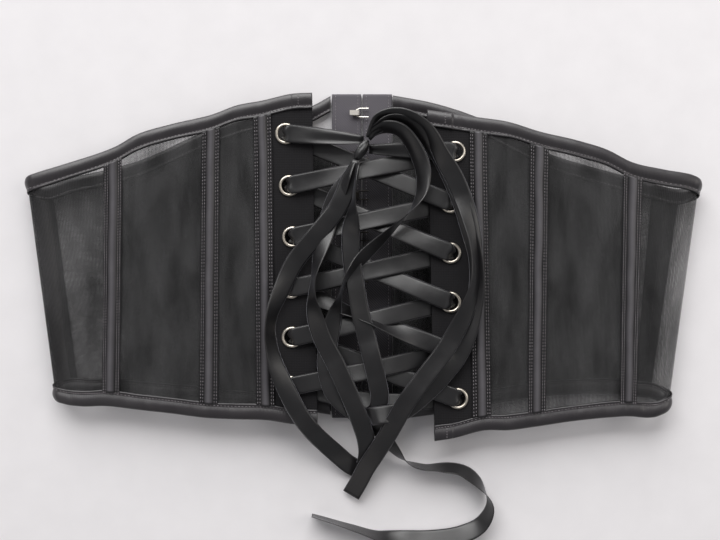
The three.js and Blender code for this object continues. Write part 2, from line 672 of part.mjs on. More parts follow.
// The lacing is one ribbon: from the knot down one zigzag, across under the bottom eyelets and back up.
function lacing() {
  const { left, right } = BELT;
  const bottom = left.eyelets.length - 1;
  const climb = (first, second) => {
    const sides = [first, second];
    const stations = [];
    for (let row = bottom; row > 0; row--) {
      const from = sides[(bottom - row) % 2].eyelets[row];
      const to = sides[(bottom - row + 1) % 2].eyelets[row - 1];
      const rising = from.x < to.x ? CROSSING_LIFT : -CROSSING_LIFT;
      stations.push(...strap(from, to, rising));
    }
    return stations;
  };
  const knot = new THREE.Vector3(KNOT.x, KNOT.y, 0);
  const leftHalf = [
    ...climb(left, right),
    ...strandToKnot(right.eyelets[0], knot.clone().add(new THREE.Vector3(...STRAND_ENDS.right))),
  ];
  const rightHalf = [
    ...climb(right, left),
    ...strandToKnot(left.eyelets[0], knot.clone().add(new THREE.Vector3(...STRAND_ENDS.left))),
  ];
  const bar = looseBar(left.eyelets[bottom], right.eyelets[bottom]);
  return ribbon([...leftHalf.reverse(), ...bar, ...rightHalf]);
}

// The roll at a distance from the knot, in radians.
function rollAt(rolls, distance) {
  let row = 0;
  while (row < rolls.length - 2 && rolls[row + 1].at < distance) {
    row++;
  }
  const [before, after] = [rolls[row], rolls[row + 1]];
  const share = Math.min(1, (distance - before.at) / (after.at - before.at));
  return THREE.MathUtils.degToRad(THREE.MathUtils.lerp(before.roll, after.roll, share));
}

// Stations along smooth curves that meet at creases. A turn of more than a right angle is a fold, so
// the ribbon's across direction carries on over it. Where the ribbon is rolled it rests on its edge.
function routeStations(routes, gathered, rolls = LEVEL) {
  const points = [];
  for (const route of routes) {
    const curve = new THREE.CatmullRomCurve3(route.map((place) => new THREE.Vector3(...place)));
    const steps = Math.round(curve.getLength() / RIBBON_STEP);
    points.push(...curve.getSpacedPoints(steps).slice(points.length ? 1 : 0));
  }
  const sides = [];
  for (let index = 0; index < points.length - 1; index++) {
    const heading = points[index + 1].clone().sub(points[index]);
    const side = new THREE.Vector3(-heading.y, heading.x, 0).normalize();
    if (index && side.dot(sides[index - 1]) < 0) {
      side.negate();
    }
    sides.push(side);
  }
  let distance = 0;
  return points.map((point, index) => {
    const before = sides[Math.max(0, index - 1)];
    const after = sides[Math.min(sides.length - 1, index)];
    const fromKnot = Math.min(index, gathered === "both" ? points.length - 1 - index : index);
    const width = Math.min(RIBBON_WIDTH, GATHERED_WIDTH + fromKnot * WIDENING);
    distance += index ? point.distanceTo(points[index - 1]) : 0;
    const roll = rollAt(rolls, distance);
    const across = before.clone().add(after).normalize().multiplyScalar(Math.cos(roll));
    across.z = Math.sin(roll);
    const middle = point.clone();
    middle.z += (Math.abs(across.z) * width) / 2;
    return { middle, across, width };
  });
}

for (const [name, side] of Object.entries(BELT)) {
  const innerChannel = upperRow(side, "inner channel");
  const outerChannel = upperRow(side, "outer channel");
  const bandStart = along(side, side.foldMiddle, side.band + BAND_WIDTH / 2);
  const tapeEnd = along(side, side.end, -CLEARANCE);
  const seam = CLEARANCE / 2;
  const panels = {
    front: [along(side, innerChannel, seam), along(side, outerChannel, -seam)],
    side: [along(side, outerChannel, seam), along(side, bandStart, -seam)],
    back: [along(side, bandStart, seam), tapeEnd],
  };
  for (const [panel, [from, to]] of Object.entries(panels)) {
    addPiece(`net_${panel}_${name}`, netPanel(side, from, to), NET);
  }
  addPiece(`binding_top_${name}`, binding(side, 1, tapeEnd), SATIN);
  addPiece(`binding_bottom_${name}`, binding(side, 0, tapeEnd), SATIN);
  addPiece(`placket_${name}`, placket(side), TWILL);
  for (const place of ["inner", "middle", "outer"]) {
    addPiece(`channel_${place}_${name}`, channel(side, upperRow(side, `${place} channel`)), SATIN);
  }
  addPiece(`side_band_${name}`, sideBand(side), SATIN);
  side.eyelets.forEach((centre, index) => {
    addPiece(`eyelet_${name}_${index + 1}`, eyelet(centre), NICKEL);
  });
}

addPiece("hook_tape", tape(CLOSING_LINE - TAPE_EDGE, CLOSING_LINE - CLEARANCE / 2), TWILL);
addPiece("eye_tape", tape(CLOSING_LINE + CLEARANCE / 2, CLOSING_LINE + TAPE_EDGE), TWILL);
for (let row = 0; row < ROWS_OF_HOOKS; row++) {
  const y = FIRST_HOOK - row * HOOK_PITCH;
  addPiece(`hook_${row + 1}`, hook(y), NICKEL);
  addPiece(`eye_${row + 1}`, eye(y), NICKEL);
}

addPiece("lacing", lacing(), RIBBON);
const knot = new THREE.SphereGeometry(0.5, 12, 8).rotateX(Math.PI / 2);
knot.scale(KNOT.width, KNOT.length, KNOT.height).rotateZ(THREE.MathUtils.degToRad(KNOT.turn));
knot.translate(KNOT.x, KNOT.y, KNOT.z);
addPiece("knot", knot, RIBBON);
addPiece("bow_tail_long", ribbon(routeStations([LONG_TAIL], "start")), RIBBON);
addPiece("bow_tail_curled", ribbon(routeStations([CURLED_TAIL], "start", CURLED_TAIL_ROLLS)), RIBBON);
addPiece("bow_loop_left", ribbon(routeStations([LEFT_LOOP_IN, LEFT_LOOP_OUT], "both")), RIBBON);
addPiece("bow_loop_right", ribbon(routeStations([RIGHT_LOOP_IN, RIGHT_LOOP_OUT], "both")), RIBBON);

export default group;
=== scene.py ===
# %% [markdown]
# # A laced corset belt
#
# The real belt is a loop of sheer black net. Satin binds its edges, narrow satin channels hold its flat
# steel bones, and a satin ribbon laces it through twelve nickel eyelets. It lies flattened on a table, so
# it has two layers, and its ribbon is tied in a long loose bow.
#
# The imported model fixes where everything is. Here each cloth piece is made again, finer, in the same place.

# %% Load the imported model
import math

import bmesh
import bpy
import numpy as np
from mathutils import Matrix, Vector


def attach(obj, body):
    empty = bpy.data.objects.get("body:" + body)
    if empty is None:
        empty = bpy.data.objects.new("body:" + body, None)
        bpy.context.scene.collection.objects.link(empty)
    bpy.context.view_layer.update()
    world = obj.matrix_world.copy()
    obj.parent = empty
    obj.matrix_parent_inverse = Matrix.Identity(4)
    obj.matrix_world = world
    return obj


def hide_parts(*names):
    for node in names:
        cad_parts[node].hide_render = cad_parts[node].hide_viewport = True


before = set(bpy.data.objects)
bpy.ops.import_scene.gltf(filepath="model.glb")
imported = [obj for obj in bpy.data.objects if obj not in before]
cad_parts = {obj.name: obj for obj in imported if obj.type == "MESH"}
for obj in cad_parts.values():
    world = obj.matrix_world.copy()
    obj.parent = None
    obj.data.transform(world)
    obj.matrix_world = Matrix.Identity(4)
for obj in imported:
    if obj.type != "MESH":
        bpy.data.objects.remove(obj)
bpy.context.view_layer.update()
MM = 0.001
print("solids:", len(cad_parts))

# %% [markdown]
# ## Camera
#
# The camera hangs straight over the belt, a little more than half a metre up. A lens of 47 mm on a full
# frame then shows 398 mm of the table, and the upper layer looks slightly larger than the lower one.
# A camera that isn't turned looks straight down, with the belt's top edge at the top.

# %% Camera
LENS, SENSOR = 47, 36  # millimetres
CAMERA_PLACE = (-0.0016, -0.0027, 0.520)  # metres
camera_data = bpy.data.cameras.new("camera")
camera_data.lens = LENS
camera_data.sensor_width = SENSOR
camera = bpy.data.objects.new("camera", camera_data)
camera.location = CAMERA_PLACE
bpy.context.scene.collection.objects.link(camera)
bpy.context.scene.camera = camera
print("view width on the table, mm:", round(SENSOR / LENS * CAMERA_PLACE[2] / MM))

# %% [markdown]
# ## Smooth lines through chosen points
#
# A ribbon or an edge of cloth bends smoothly, but only a few of its points are given. A cubic
# curve through them needs a slope at each, and this one weighs the slopes of both neighbouring pieces by
# how short they are, so a long piece beside a short one doesn't swing out.

# %% Smooth lines
def smooth_line(knots, values, at):
    """Values on a smooth curve that has the given values at the given knots."""
    knots, values, at = np.asarray(knots, float), np.asarray(values, float), np.asarray(at, float)
    steps = np.diff(knots)[:, None]
    slopes = np.diff(values, axis=0) / steps
    inner = (slopes[:-1] * steps[1:] + slopes[1:] * steps[:-1]) / (steps[:-1] + steps[1:])
    tangents = np.concatenate([slopes[:1], inner, slopes[-1:]])
    piece = np.clip(np.searchsorted(knots, at, side="right") - 1, 0, len(knots) - 2)
    step = steps[piece]
    t = ((at - knots[piece])[..., None]) / step
    return (
        (2 * t**3 - 3 * t**2 + 1) * values[piece]
        + (t**3 - 2 * t**2 + t) * step * tangents[piece]
        + (3 * t**2 - 2 * t**3) * values[piece + 1]
        + (t**3 - t**2) * step * tangents[piece + 1]
    )


def lengths_to(points):
    """How far each point lies along a line of points."""
    return np.concatenate([[0], np.cumsum(np.linalg.norm(np.diff(points, axis=0), axis=1))])


def even_line(points, spacing):
    """Evenly spaced points on the smooth curve through a few chosen ones."""
    points = np.asarray(points, float)
    knots = np.concatenate([[0], np.cumsum(np.linalg.norm(np.diff(points, axis=0), axis=1) ** 0.5)])
    fine = np.linspace(0, knots[-1], 40 * len(points))
    dense = smooth_line(knots, points, fine)
    far = lengths_to(dense)
    count = max(2, round(far[-1] / spacing) + 1)
    even = np.linspace(0, far[-1], count)
    return np.stack([np.interp(even, far, dense[:, k]) for k in range(3)], axis=1)


def unit(vectors):
    return vectors / np.maximum(np.linalg.norm(vectors, axis=-1, keepdims=True), 1e-12)


def wander(count, spacing, period, seed):
    """A smooth random line between -1 and 1 that swings about once in a period."""
    swings = np.random.default_rng(seed).uniform(-1, 1, int(count * spacing / period) + 4)
    place = np.arange(count) * spacing / period
    before = place.astype(int)
    share = place - before
    share = share * share * (3 - 2 * share)
    return swings[before] * (1 - share) + swings[before + 1] * share


print("length of a smooth line through three corners, mm:",
      round(lengths_to(even_line([(0, 0, 0), (10, 0, 0), (10, 10, 0)], 0.5))[-1], 1))

# %% [markdown]
# ## From a grid to a piece of cloth
#
# Cloth is a grid: one direction runs along the piece and the other across it. So every soft piece here
# starts as Blender's own flat grid, and each of its corners is moved to its place. A tube joins the grid's
# two long sides and fills its ends, which gives a ribbon or a binding its thickness. The UV map keeps
# where each corner was on the flat cloth, in metres, so a weave follows the piece round every bend.

# %% Grid pieces
def cloth_mesh(points, flat, tube=False):
    """A bmesh in millimetres. points[i, j] is a corner's place and flat[i, j] its place on the flat cloth."""
    along, across = points.shape[:2]
    bm = bmesh.new()
    bmesh.ops.create_grid(bm, x_segments=along - 1, y_segments=across - 1, size=0.5)
    uv = bm.loops.layers.uv.new("cloth")
    corner = {}
    for vert in bm.verts:
        i = round((vert.co.x + 0.5) * (along - 1))
        j = round((vert.co.y + 0.5) * (across - 1))
        corner[vert] = (i, j)
        vert.co = points[i, j]
    for face in bm.faces:
        for loop in face.loops:
            loop[uv].uv = flat[corner[loop.vert]] * MM
    if tube:
        bmesh.ops.remove_doubles(bm, verts=bm.verts, dist=1e-4)
        bmesh.ops.holes_fill(bm, edges=[edge for edge in bm.edges if edge.is_boundary], sides=0)
    bmesh.ops.recalc_face_normals(bm, faces=bm.faces)
    return bm


def finish_piece(name, bm, material, nodes=(), flat_shading=False):
    """Turns a bmesh in millimetres into an object that rides on the belt."""
    bmesh.ops.scale(bm, vec=(MM, MM, MM), verts=bm.verts)
    mesh = bpy.data.meshes.new(name)
    bm.to_mesh(mesh)
    bm.free()
    for polygon in mesh.polygons:
        polygon.use_smooth = not flat_shading
    mesh.materials.append(material)
    piece = bpy.data.objects.new(name, mesh)
    bpy.context.scene.collection.objects.link(piece)
    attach(piece, "root")
    if nodes:
        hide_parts(*nodes)
    return piece


rows, columns = np.meshgrid(np.arange(4.0), np.arange(3.0), indexing="ij")
swatch = cloth_mesh(np.stack([rows, columns, 0 * rows], axis=-1), np.stack([rows, columns], axis=-1))
print("faces of a swatch with 4 by 3 corners:", len(swatch.faces))
swatch.free()

# %% [markdown]
# ## Colours and nodes
#
# A colour picked from a screen is sRGB, but the shaders want linear values, so one function converts it.
# Another small function adds any node with its settings and links, which keeps each material short.

# %% Colours and nodes
def linear(code):
    """A linear colour from an sRGB hex code."""
    parts = [int(code[k : k + 2], 16) / 255 for k in (1, 3, 5)]
    return (*[c / 12.92 if c <= 0.04045 else ((c + 0.055) / 1.055) ** 2.4 for c in parts], 1)


def add_node(tree, kind, links=None, **settings):
    """Adds a node, sets it up, and gives each named input a value or a link."""
    made = tree.nodes.new("ShaderNode" + kind)
    for name, value in settings.items():
        setattr(made, name, value)
    for socket, value in (links or {}).items():
        if isinstance(value, bpy.types.NodeSocket):
            tree.links.new(value, made.inputs[socket])
        else:
            made.inputs[socket].default_value = value
    return made


def new_material(name, **values):
    """A material with its Principled shader's constant values set. Returns it, its tree and its shader."""
    material = bpy.data.materials.new(name)
    material.use_nodes = True
    shader = material.node_tree.nodes["Principled BSDF"]
    for socket, value in values.items():
        shader.inputs[socket.replace("_", " ")].default_value = value
    return material, material.node_tree, shader


WAVE = math.pi / 10  # a Wave texture at scale 1 repeats every pi / 10 metres
print("mid grey on the screen, as a linear value:", round(linear("#808080")[0], 3))

# %% [markdown]
# ## Satin ribbon
#
# Double-faced polyester satin: long floating warp threads lie side by side, so it has a soft broad shine
# that is drawn out across the threads. Its edges are woven tighter, so they stand a little thicker, and the
# thin light lines they catch are painted in as a lighter band near each edge, a painted highlight.
# The threads are about 0.1 mm apart, too fine to show, so they are drawn 0.5 mm apart.

# %% Satin ribbon
RIBBON_WIDTH = 10.0
RIBBON_THICKNESS = 0.35
WEAR_PATCH, CREASE = 0.012, 0.016  # metres, the sizes of rubbed patches and of soft creases


def satin(name, dark, light, roughness, thread, bands=(), sheen=0.2, shine=0.75):
    """Satin with threads along the piece and patches of wear. Each band is a distance from the middle where
    another colour begins, one where it is full, and the colour."""
    material, tree, shader = new_material(
        name, IOR=1.5, Sheen_Weight=sheen, Sheen_Roughness=0.3, Anisotropic=0.3, Specular_IOR_Level=shine
    )
    shader.inputs["Sheen Tint"].default_value = linear("#b2b2ba")
    cloth = add_node(tree, "UVMap", uv_map="cloth").outputs["UV"]
    threads = add_node(tree, "TexWave", {"Vector": cloth, "Scale": WAVE / (thread * MM), "Distortion": 0.6,
                                         "Detail": 1.0, "Detail Scale": 2.0}, bands_direction="Y")
    cloud = add_node(tree, "TexNoise", {"Vector": cloth, "Scale": 1 / WEAR_PATCH, "Detail": 3.0})
    mixed = add_node(tree, "Mix", {0: cloud.outputs["Fac"], 6: linear(dark), 7: linear(light)},
                     data_type="RGBA", clamp_factor=True)
    colour = mixed.outputs[2]
    across = add_node(tree, "SeparateXYZ", {"Vector": cloth}).outputs["Y"]
    out = add_node(tree, "Math", {0: across}, operation="ABSOLUTE").outputs[0]
    for start, full, code in bands:
        band = add_node(tree, "MapRange", {"Value": out, "From Min": start * MM, "From Max": full * MM})
        mixed = add_node(tree, "Mix", {0: band.outputs[0], 6: colour, 7: linear(code)}, data_type="RGBA")
        colour = mixed.outputs[2]
    tree.links.new(colour, shader.inputs["Base Color"])
    rough = add_node(tree, "MapRange", {"Value": cloud.outputs["Fac"], "From Min": 0.3, "From Max": 0.7,
                                        "To Min": roughness - 0.04, "To Max": roughness + 0.06})
    tree.links.new(rough.outputs[0], shader.inputs["Roughness"])
    waves = add_node(tree, "TexNoise", {"Vector": cloth, "Scale": 1 / CREASE, "Detail": 1.0})
    soft = add_node(tree, "Bump", {"Height": waves.outputs["Fac"], "Strength": 0.16, "Distance": 0.0018})
    fine = add_node(tree, "Bump", {"Height": threads.outputs["Fac"], "Strength": 0.1, "Distance": 0.0002,
                                   "Normal": soft.outputs[0]})
    tree.links.new(fine.outputs[0], shader.inputs["Normal"])
    return material


# The lighter band near each edge is a painted highlight.
ribbon_satin = satin("ribbon_polyester_satin_woven", "#0b0a0c", "#131214", 0.35, 0.5,
                     bands=[(RIBBON_WIDTH / 2 - 0.5, RIBBON_WIDTH / 2 - 0.2, "#1e1c1e")], sheen=0.38)
print("ribbon material:", ribbon_satin.name)

# %% [markdown]
# ## How a ribbon is built
#
# A ribbon is a row of stations: its middle, the direction across it and its width there. Where it is drawn
# together its edges roll under, and part of the spare width stays as one soft lengthwise fold, whose depth
# follows from the width that is missing.
# A ribbon can't bend sideways, so in a curve it turns up onto its edge. A short table gives how far it is
# turned at distances along it, and where it is turned it rests on its lower edge, so its middle rises.

# %% Ribbon
# Places across the ribbon, along its upper face and back along its lower one, and which face each is on
FACE_STEPS = 12
ACROSS = np.concatenate([np.linspace(-0.5, 0.5, FACE_STEPS + 1), np.linspace(0.5, -0.5, FACE_STEPS + 1)[1:]])
TOP = np.concatenate([np.ones(FACE_STEPS), [0], -np.ones(FACE_STEPS)])
TOP[0] = TOP[-1] = 0
PLEATS = 1
PLEAT_SHARE = 0.4  # of the depth that would take up all the spare width
FULL = 0.97  # share of its width past which a ribbon has no pleats
WIDEST = 0.995  # share of its flat width that it ever shows
SELVEDGE = 0.45  # where the thicker woven edge begins, as a share of the width from the middle
print("corners round a ribbon:", len(ACROSS) - 1)


def turn_up(middles, acrosses, widths, degrees):
    """Turns a level ribbon about its own line and lifts it so that it stands on its lower edge."""
    angle = np.radians(degrees)[:, None]
    turned = unit(acrosses) * np.cos(angle) + np.array([0, 0, 1]) * np.sin(angle)
    lifted = middles + np.array([0, 0, 0.5]) * np.abs(np.sin(angle)) * widths[:, None]
    return lifted, turned


def degrees_along(table, far):
    """How far a ribbon is turned at distances along it, from a table of distance and degrees."""
    at, degrees = np.array(table, float).T
    return smooth_line(at, degrees[:, None], np.clip(far, at[0], at[-1]))[:, 0]


def ribbon_mesh(middles, acrosses, widths, cup=0.0):
    """A ribbon along its stations. cup bends its edges up out of its flat face."""
    ahead = np.gradient(middles, axis=0)
    faces = unit(np.cross(acrosses, ahead))
    widths = np.minimum(widths, RIBBON_WIDTH * WIDEST)
    missing = np.maximum(0, (RIBBON_WIDTH * FULL / widths) ** 2 - 1)
    pleat = widths / (2 * math.pi * PLEATS) * np.sqrt(2 * missing) * PLEAT_SHARE
    fold = np.cos(2 * math.pi * PLEATS * (ACROSS[None, :] + 0.25)) * pleat[:, None]
    fold = fold + np.reshape(cup, (-1, 1)) * (ACROSS[None, :] ** 2 * 4 - 0.33)
    selvedge = 1 + 0.4 * (np.abs(ACROSS) > SELVEDGE)
    lift = fold + TOP * selvedge * RIBBON_THICKNESS / 2
    points = (
        middles[:, None]
        + acrosses[:, None] * (ACROSS[None, :] * widths[:, None])[..., None]
        + faces[:, None] * lift[..., None]
    )
    far = lengths_to(middles)
    flat = np.stack(np.broadcast_arrays(far[:, None], ACROSS[None, :] * RIBBON_WIDTH), axis=-1)
    return cloth_mesh(points, flat, tube=True)


# %% [markdown]
# ## The bow
#
# The ribbon's free ends and the two loops of its bow are limp and loose, with a real length. Each follows
# the same chosen points as its solid does. Where a loop turns back on itself it is creased flat, so two
# curves meet there and the ribbon turns over.

# %% Routes of the bow, in millimetres
LONG_TAIL = [
    [(2.9, 67.1, 20.6), (4.2, 71, 20.6), (8, 76.8, 20.6), (17, 79.1, 20.6), (25.5, 77, 20.6),
     (33.5, 71, 20.6), (41, 58.5, 20.6), (49, 45, 20.6), (56, 26.5, 20.6), (59.8, 8, 20.6),
     (59.2, -10.5, 20.6), (53.5, -27, 20.6), (44, -44.5, 20.6), (33, -59, 20.6), (22.5, -73.5, 20.6),
     (17, -83.5, 19.6), (12, -93, 16), (6.5, -102.5, 10.6), (2, -110, 6.8), (-2.5, -119, 4),
     (-6.6, -126.6, 1.6)],
]
CURLED_TAIL = [
    [(2.9, 67.1, 17.6), (5.4, 70.2, 17.6), (11.8, 72.6, 17.6), (19.4, 71, 17.6), (26.6, 62.6, 17.6),
     (31.2, 51.4, 17.6), (31, 40, 17.6), (27.5, 32, 17.6), (19.8, 22.9, 17.6), (9, 12.6, 17.6), (1, 5, 17.6),
     (-8.6, -6.6, 17.6), (-13, -18.7, 17.6), (-17, -34.7, 17.6), (-19.6, -53.4, 17.6),
     (-15.5, -68, 17.4), (-7, -76.8, 15.2), (6, -86, 10.6), (16, -99, 5.4), (23.5, -107, 2.6),
     (33, -110.5, 1.2), (43, -110.8, 0.9), (54, -112.4, 0.9), (64, -120, 0.9), (69.5, -131.5, 0.9),
     (64.8, -142, 0.9), (53.7, -148.2, 0.9), (37, -150.6, 0.9), (20.5, -150.4, 0.9),
     (9.5, -148.6, 0.9), (-1.6, -145, 0.9), (-13, -141.4, 0.9), (-28, -137, 0.9)],
]
LEFT_LOOP = [
    [(-4.5, 55.5, 17.6), (-9, 47, 17.6), (-16, 32, 17.6), (-20.3, 16, 17.6), (-24.6, 1.6, 17.8),
     (-26.6, -10.7, 18.6), (-26.6, -21.4, 19.1), (-22.4, -37.4, 19.1), (-14, -54, 19.1),
     (-6, -72, 18.9), (-1.4, -84, 16.6), (1.5, -94, 12), (2.4, -102, 7.4), (1.9, -107, 4.6),
     (0.6, -111.4, 2.2)],
    [(0.6, -111.4, 2.2), (-3, -112.2, 1.2), (-7.5, -109.6, 1.6), (-14, -103.6, 4.4), (-21, -96.4, 10.4),
     (-28, -88, 16.4), (-34.4, -79, 17.6), (-41.6, -64.4, 17.6), (-46.8, -50.8, 17.6),
     (-49.2, -37.4, 17.6), (-48.2, -26.4, 17.6), (-43.4, -13.4, 17.6), (-36.3, 1.6, 18.2),
     (-25.6, 14.8, 20), (-12.6, 32, 20.6), (-7, 46, 20.6), (-4, 55.5, 20.6)],
]
RIGHT_LOOP = [
    [(-2.3, 54.4, 19.1), (-3.7, 48, 19.1), (-5.2, 34.7, 19.1), (-6.6, 13.3, 19.1), (-5.3, -2.7, 19.1),
     (-1.6, -24.1, 19.1), (3.7, -45.4, 19.1), (7.6, -62, 18.9), (9, -71, 17), (7.4, -78, 15.2),
     (3, -81.6, 15)],
    [(3, -81.6, 15), (6.4, -80.6, 16.6), (11, -79.8, 17), (16, -79.4, 17), (21, -78.2, 17),
     (26, -75, 17.1), (30, -71.6, 17.3), (38, -64.4, 17.6), (45, -56.4, 17.6), (51, -48, 17.6),
     (55.4, -37.4, 17.6), (58.6, -24.1, 17.6), (60.4, -11.4, 17.6), (59.8, 2, 17.6), (57, 16, 17.6),
     (52.8, 32, 17.6), (46.4, 47.8, 17.8), (38.4, 61.4, 18.8), (30.4, 70.4, 19.1), (22.4, 75.2, 19.1),
     (14.4, 76, 19.1), (8, 72.4, 19.1), (4.9, 70.4, 19.1), (2.9, 67.1, 19.1)],
]
print("chosen points on the bow:",
      sum(len(route) for routes in (LONG_TAIL, CURLED_TAIL, LEFT_LOOP, RIGHT_LOOP) for route in routes))

# %% [markdown]
# ## How the bow's ribbons are turned
#
# Seen from above, a ribbon looks wide where it lies flat and narrow where it stands on its edge, so its
# width at each place gives its turn there. Each row holds a distance from the knot and the turn. The curled
# tail turns right over, because its other face is up where it lies on the table.

# %% Turns: millimetres from the knot, and degrees
LONG_TAIL_TURNS = [
    (0, 62), (10, 64), (24, 60), (38, 52), (52, 38), (64, 18), (82, -6), (101, -34), (121, -50), (139, -30),
    (155, -6), (175, 6), (203, 5), (228, 2), (247, 12), (267, 6),
]
CURLED_TAIL_TURNS = [
    (0, 58), (12, 56), (24, 46), (39, 34), (53, 52), (63, 76), (78, 102), (91, 124), (103, 130), (114, 106),
    (124, 100), (137, 144), (153, 176), (198, 180), (216, 212), (232, 248), (239, 271), (253, 281),
    (259, 292), (267, 298), (273, 305), (279, 298), (289, 264), (300, 240), (316, 212), (333, 208),
    (350, 210), (358, 228), (364, 248), (381, 264), (403, 276),
]
LEFT_LOOP_TURNS = [
    (0, 66), (10, 56), (22, 14), (34, 6), (54, 46), (66, 70), (76, 60), (88, 20), (104, 4), (126, -8),
    (146, 6), (172, 8), (181, 0), (193, 16), (208, 4), (232, 0), (254, 20), (271, 48), (286, 56), (302, 34),
    (322, 10), (342, 10), (362, -6), (374, -16), (386, -56), (390, -66),
]
RIGHT_LOOP_TURNS = [
    (0, 80), (12, 80), (24, 64), (36, 20), (54, 8), (76, -12), (100, 4), (140, 4), (145, 15), (150, 15),
    (156, 0), (170, 2), (186, -10), (213, 12), (237, 36), (257, 46), (275, 30), (295, 12), (315, 26),
    (333, 46), (349, 56), (362, 60),
]
print("the long tail's greatest turn, degrees:", max(abs(degrees) for far, degrees in LONG_TAIL_TURNS))

# %% [markdown]
# ## The bow's four ribbons
#
# Each takes its route and its turns. It widens from the gathers at the knot to its full width, and it wavers
# a little up and down and about its line, as limp ribbon does.

# %% Bow ribbons
GATHERED_WIDTH = 6.0  # where the ribbon is drawn in to the knot
WIDENING = 0.38  # by how much it widens with distance from the knot
SPACING = 1.8  # between a bow ribbon's stations
HEAVE, HEAVE_PERIOD = 0.5, 13  # how far it wavers up and down
ROLL, ROLL_PERIOD = 3, 19  # and about its line, in degrees


def bow_stations(routes, turns, loop, seed):
    """Middles, directions across and widths of a loose ribbon."""
    line = np.concatenate([even_line(route, SPACING)[bool(k):] for k, route in enumerate(routes)])
    heading = np.diff(line, axis=0)
    side = unit(np.stack([-heading[:, 1], heading[:, 0], 0 * heading[:, 0]], axis=1))
    for k in range(1, len(side)):
        if side[k] @ side[k - 1] < 0:  # the ribbon turned over at a crease
            side[k] = -side[k]
    at = np.arange(len(line))
    across = unit(side[np.maximum(0, at - 1)] + side[np.minimum(len(side) - 1, at)])
    far = lengths_to(line)
    from_knot = np.minimum(far, far[-1] - far) if loop else far
    widths = np.minimum(RIBBON_WIDTH, GATHERED_WIDTH + from_knot * WIDENING)
    over_belt = np.clip(line[:, 2] / 10, 0, 1)  # the ribbon lies still on the table
    line[:, 2] += HEAVE * (1 + wander(len(line), SPACING, HEAVE_PERIOD, seed)) * over_belt
    degrees = degrees_along(turns, far) + ROLL * wander(len(line), SPACING, ROLL_PERIOD, seed + 1)
    line, across = turn_up(line, across, widths, degrees)
    return line, across, widths


BOW = {
    "bow_tail_long": (LONG_TAIL, LONG_TAIL_TURNS, False, 3),
    "bow_tail_curled": (CURLED_TAIL, CURLED_TAIL_TURNS, False, 5),
    "bow_loop_left": (LEFT_LOOP, LEFT_LOOP_TURNS, True, 8),
    "bow_loop_right": (RIGHT_LOOP, RIGHT_LOOP_TURNS, True, 11),
}
for name, (routes, turns, loop, seed) in BOW.items():
    line, across, widths = bow_stations(routes, turns, loop, seed)
    cup = 0.3 * wander(len(line), SPACING, 25, seed + 2)
    if not loop:  # the tails curl over along their outer edges in the arc over the knot
        cup += np.interp(lengths_to(line), (4, 18, 44, 60), (0, 1.2, 1.2, 0))
    bow = finish_piece(f"satin_{name}", ribbon_mesh(line, across, widths, cup), ribbon_satin, [name])

# %% [markdown]
# ## The belt's cloth as a map
#
# Every cloth piece lies on the same surface: up over the laced side, round the fold at the side and back
# along the table to the fastening. A few rows across the belt give where its two bound edges run. A place
# on the cloth is then a distance along it from the lacing, a share of the way from the bottom edge to the
# top one, an inset along the row and a lift off the cloth, so a stitch or a seam is easy to place.

# %% Rows of the belt: outwards and upwards of the top edge, then of the bottom edge, as shares
HALF_WIDTH, HALF_HEIGHT = 185.3, 95.0
BACK_Z = 1.8  # height of the lower layer's middle
LAYER_GAP, CENTRE_RISE = 10.0, 1.6  # between the layers at the folds, and how much more at the lacing
FOLD_RADIUS = LAYER_GAP / 2
BINDING_HALF = 1.8  # half the thickness of a binding, by which the net's fold stays inside the belt's box
FOLD_EXTREME = HALF_WIDTH - BINDING_HALF
FLAT_SHARE = 0.383  # how far out the upper layer stays level
CLOSING_LINE, TAPE_EDGE = -0.5, 16.6  # where the two tapes meet, and how far each reaches from there
FOLD_STEPS = 12
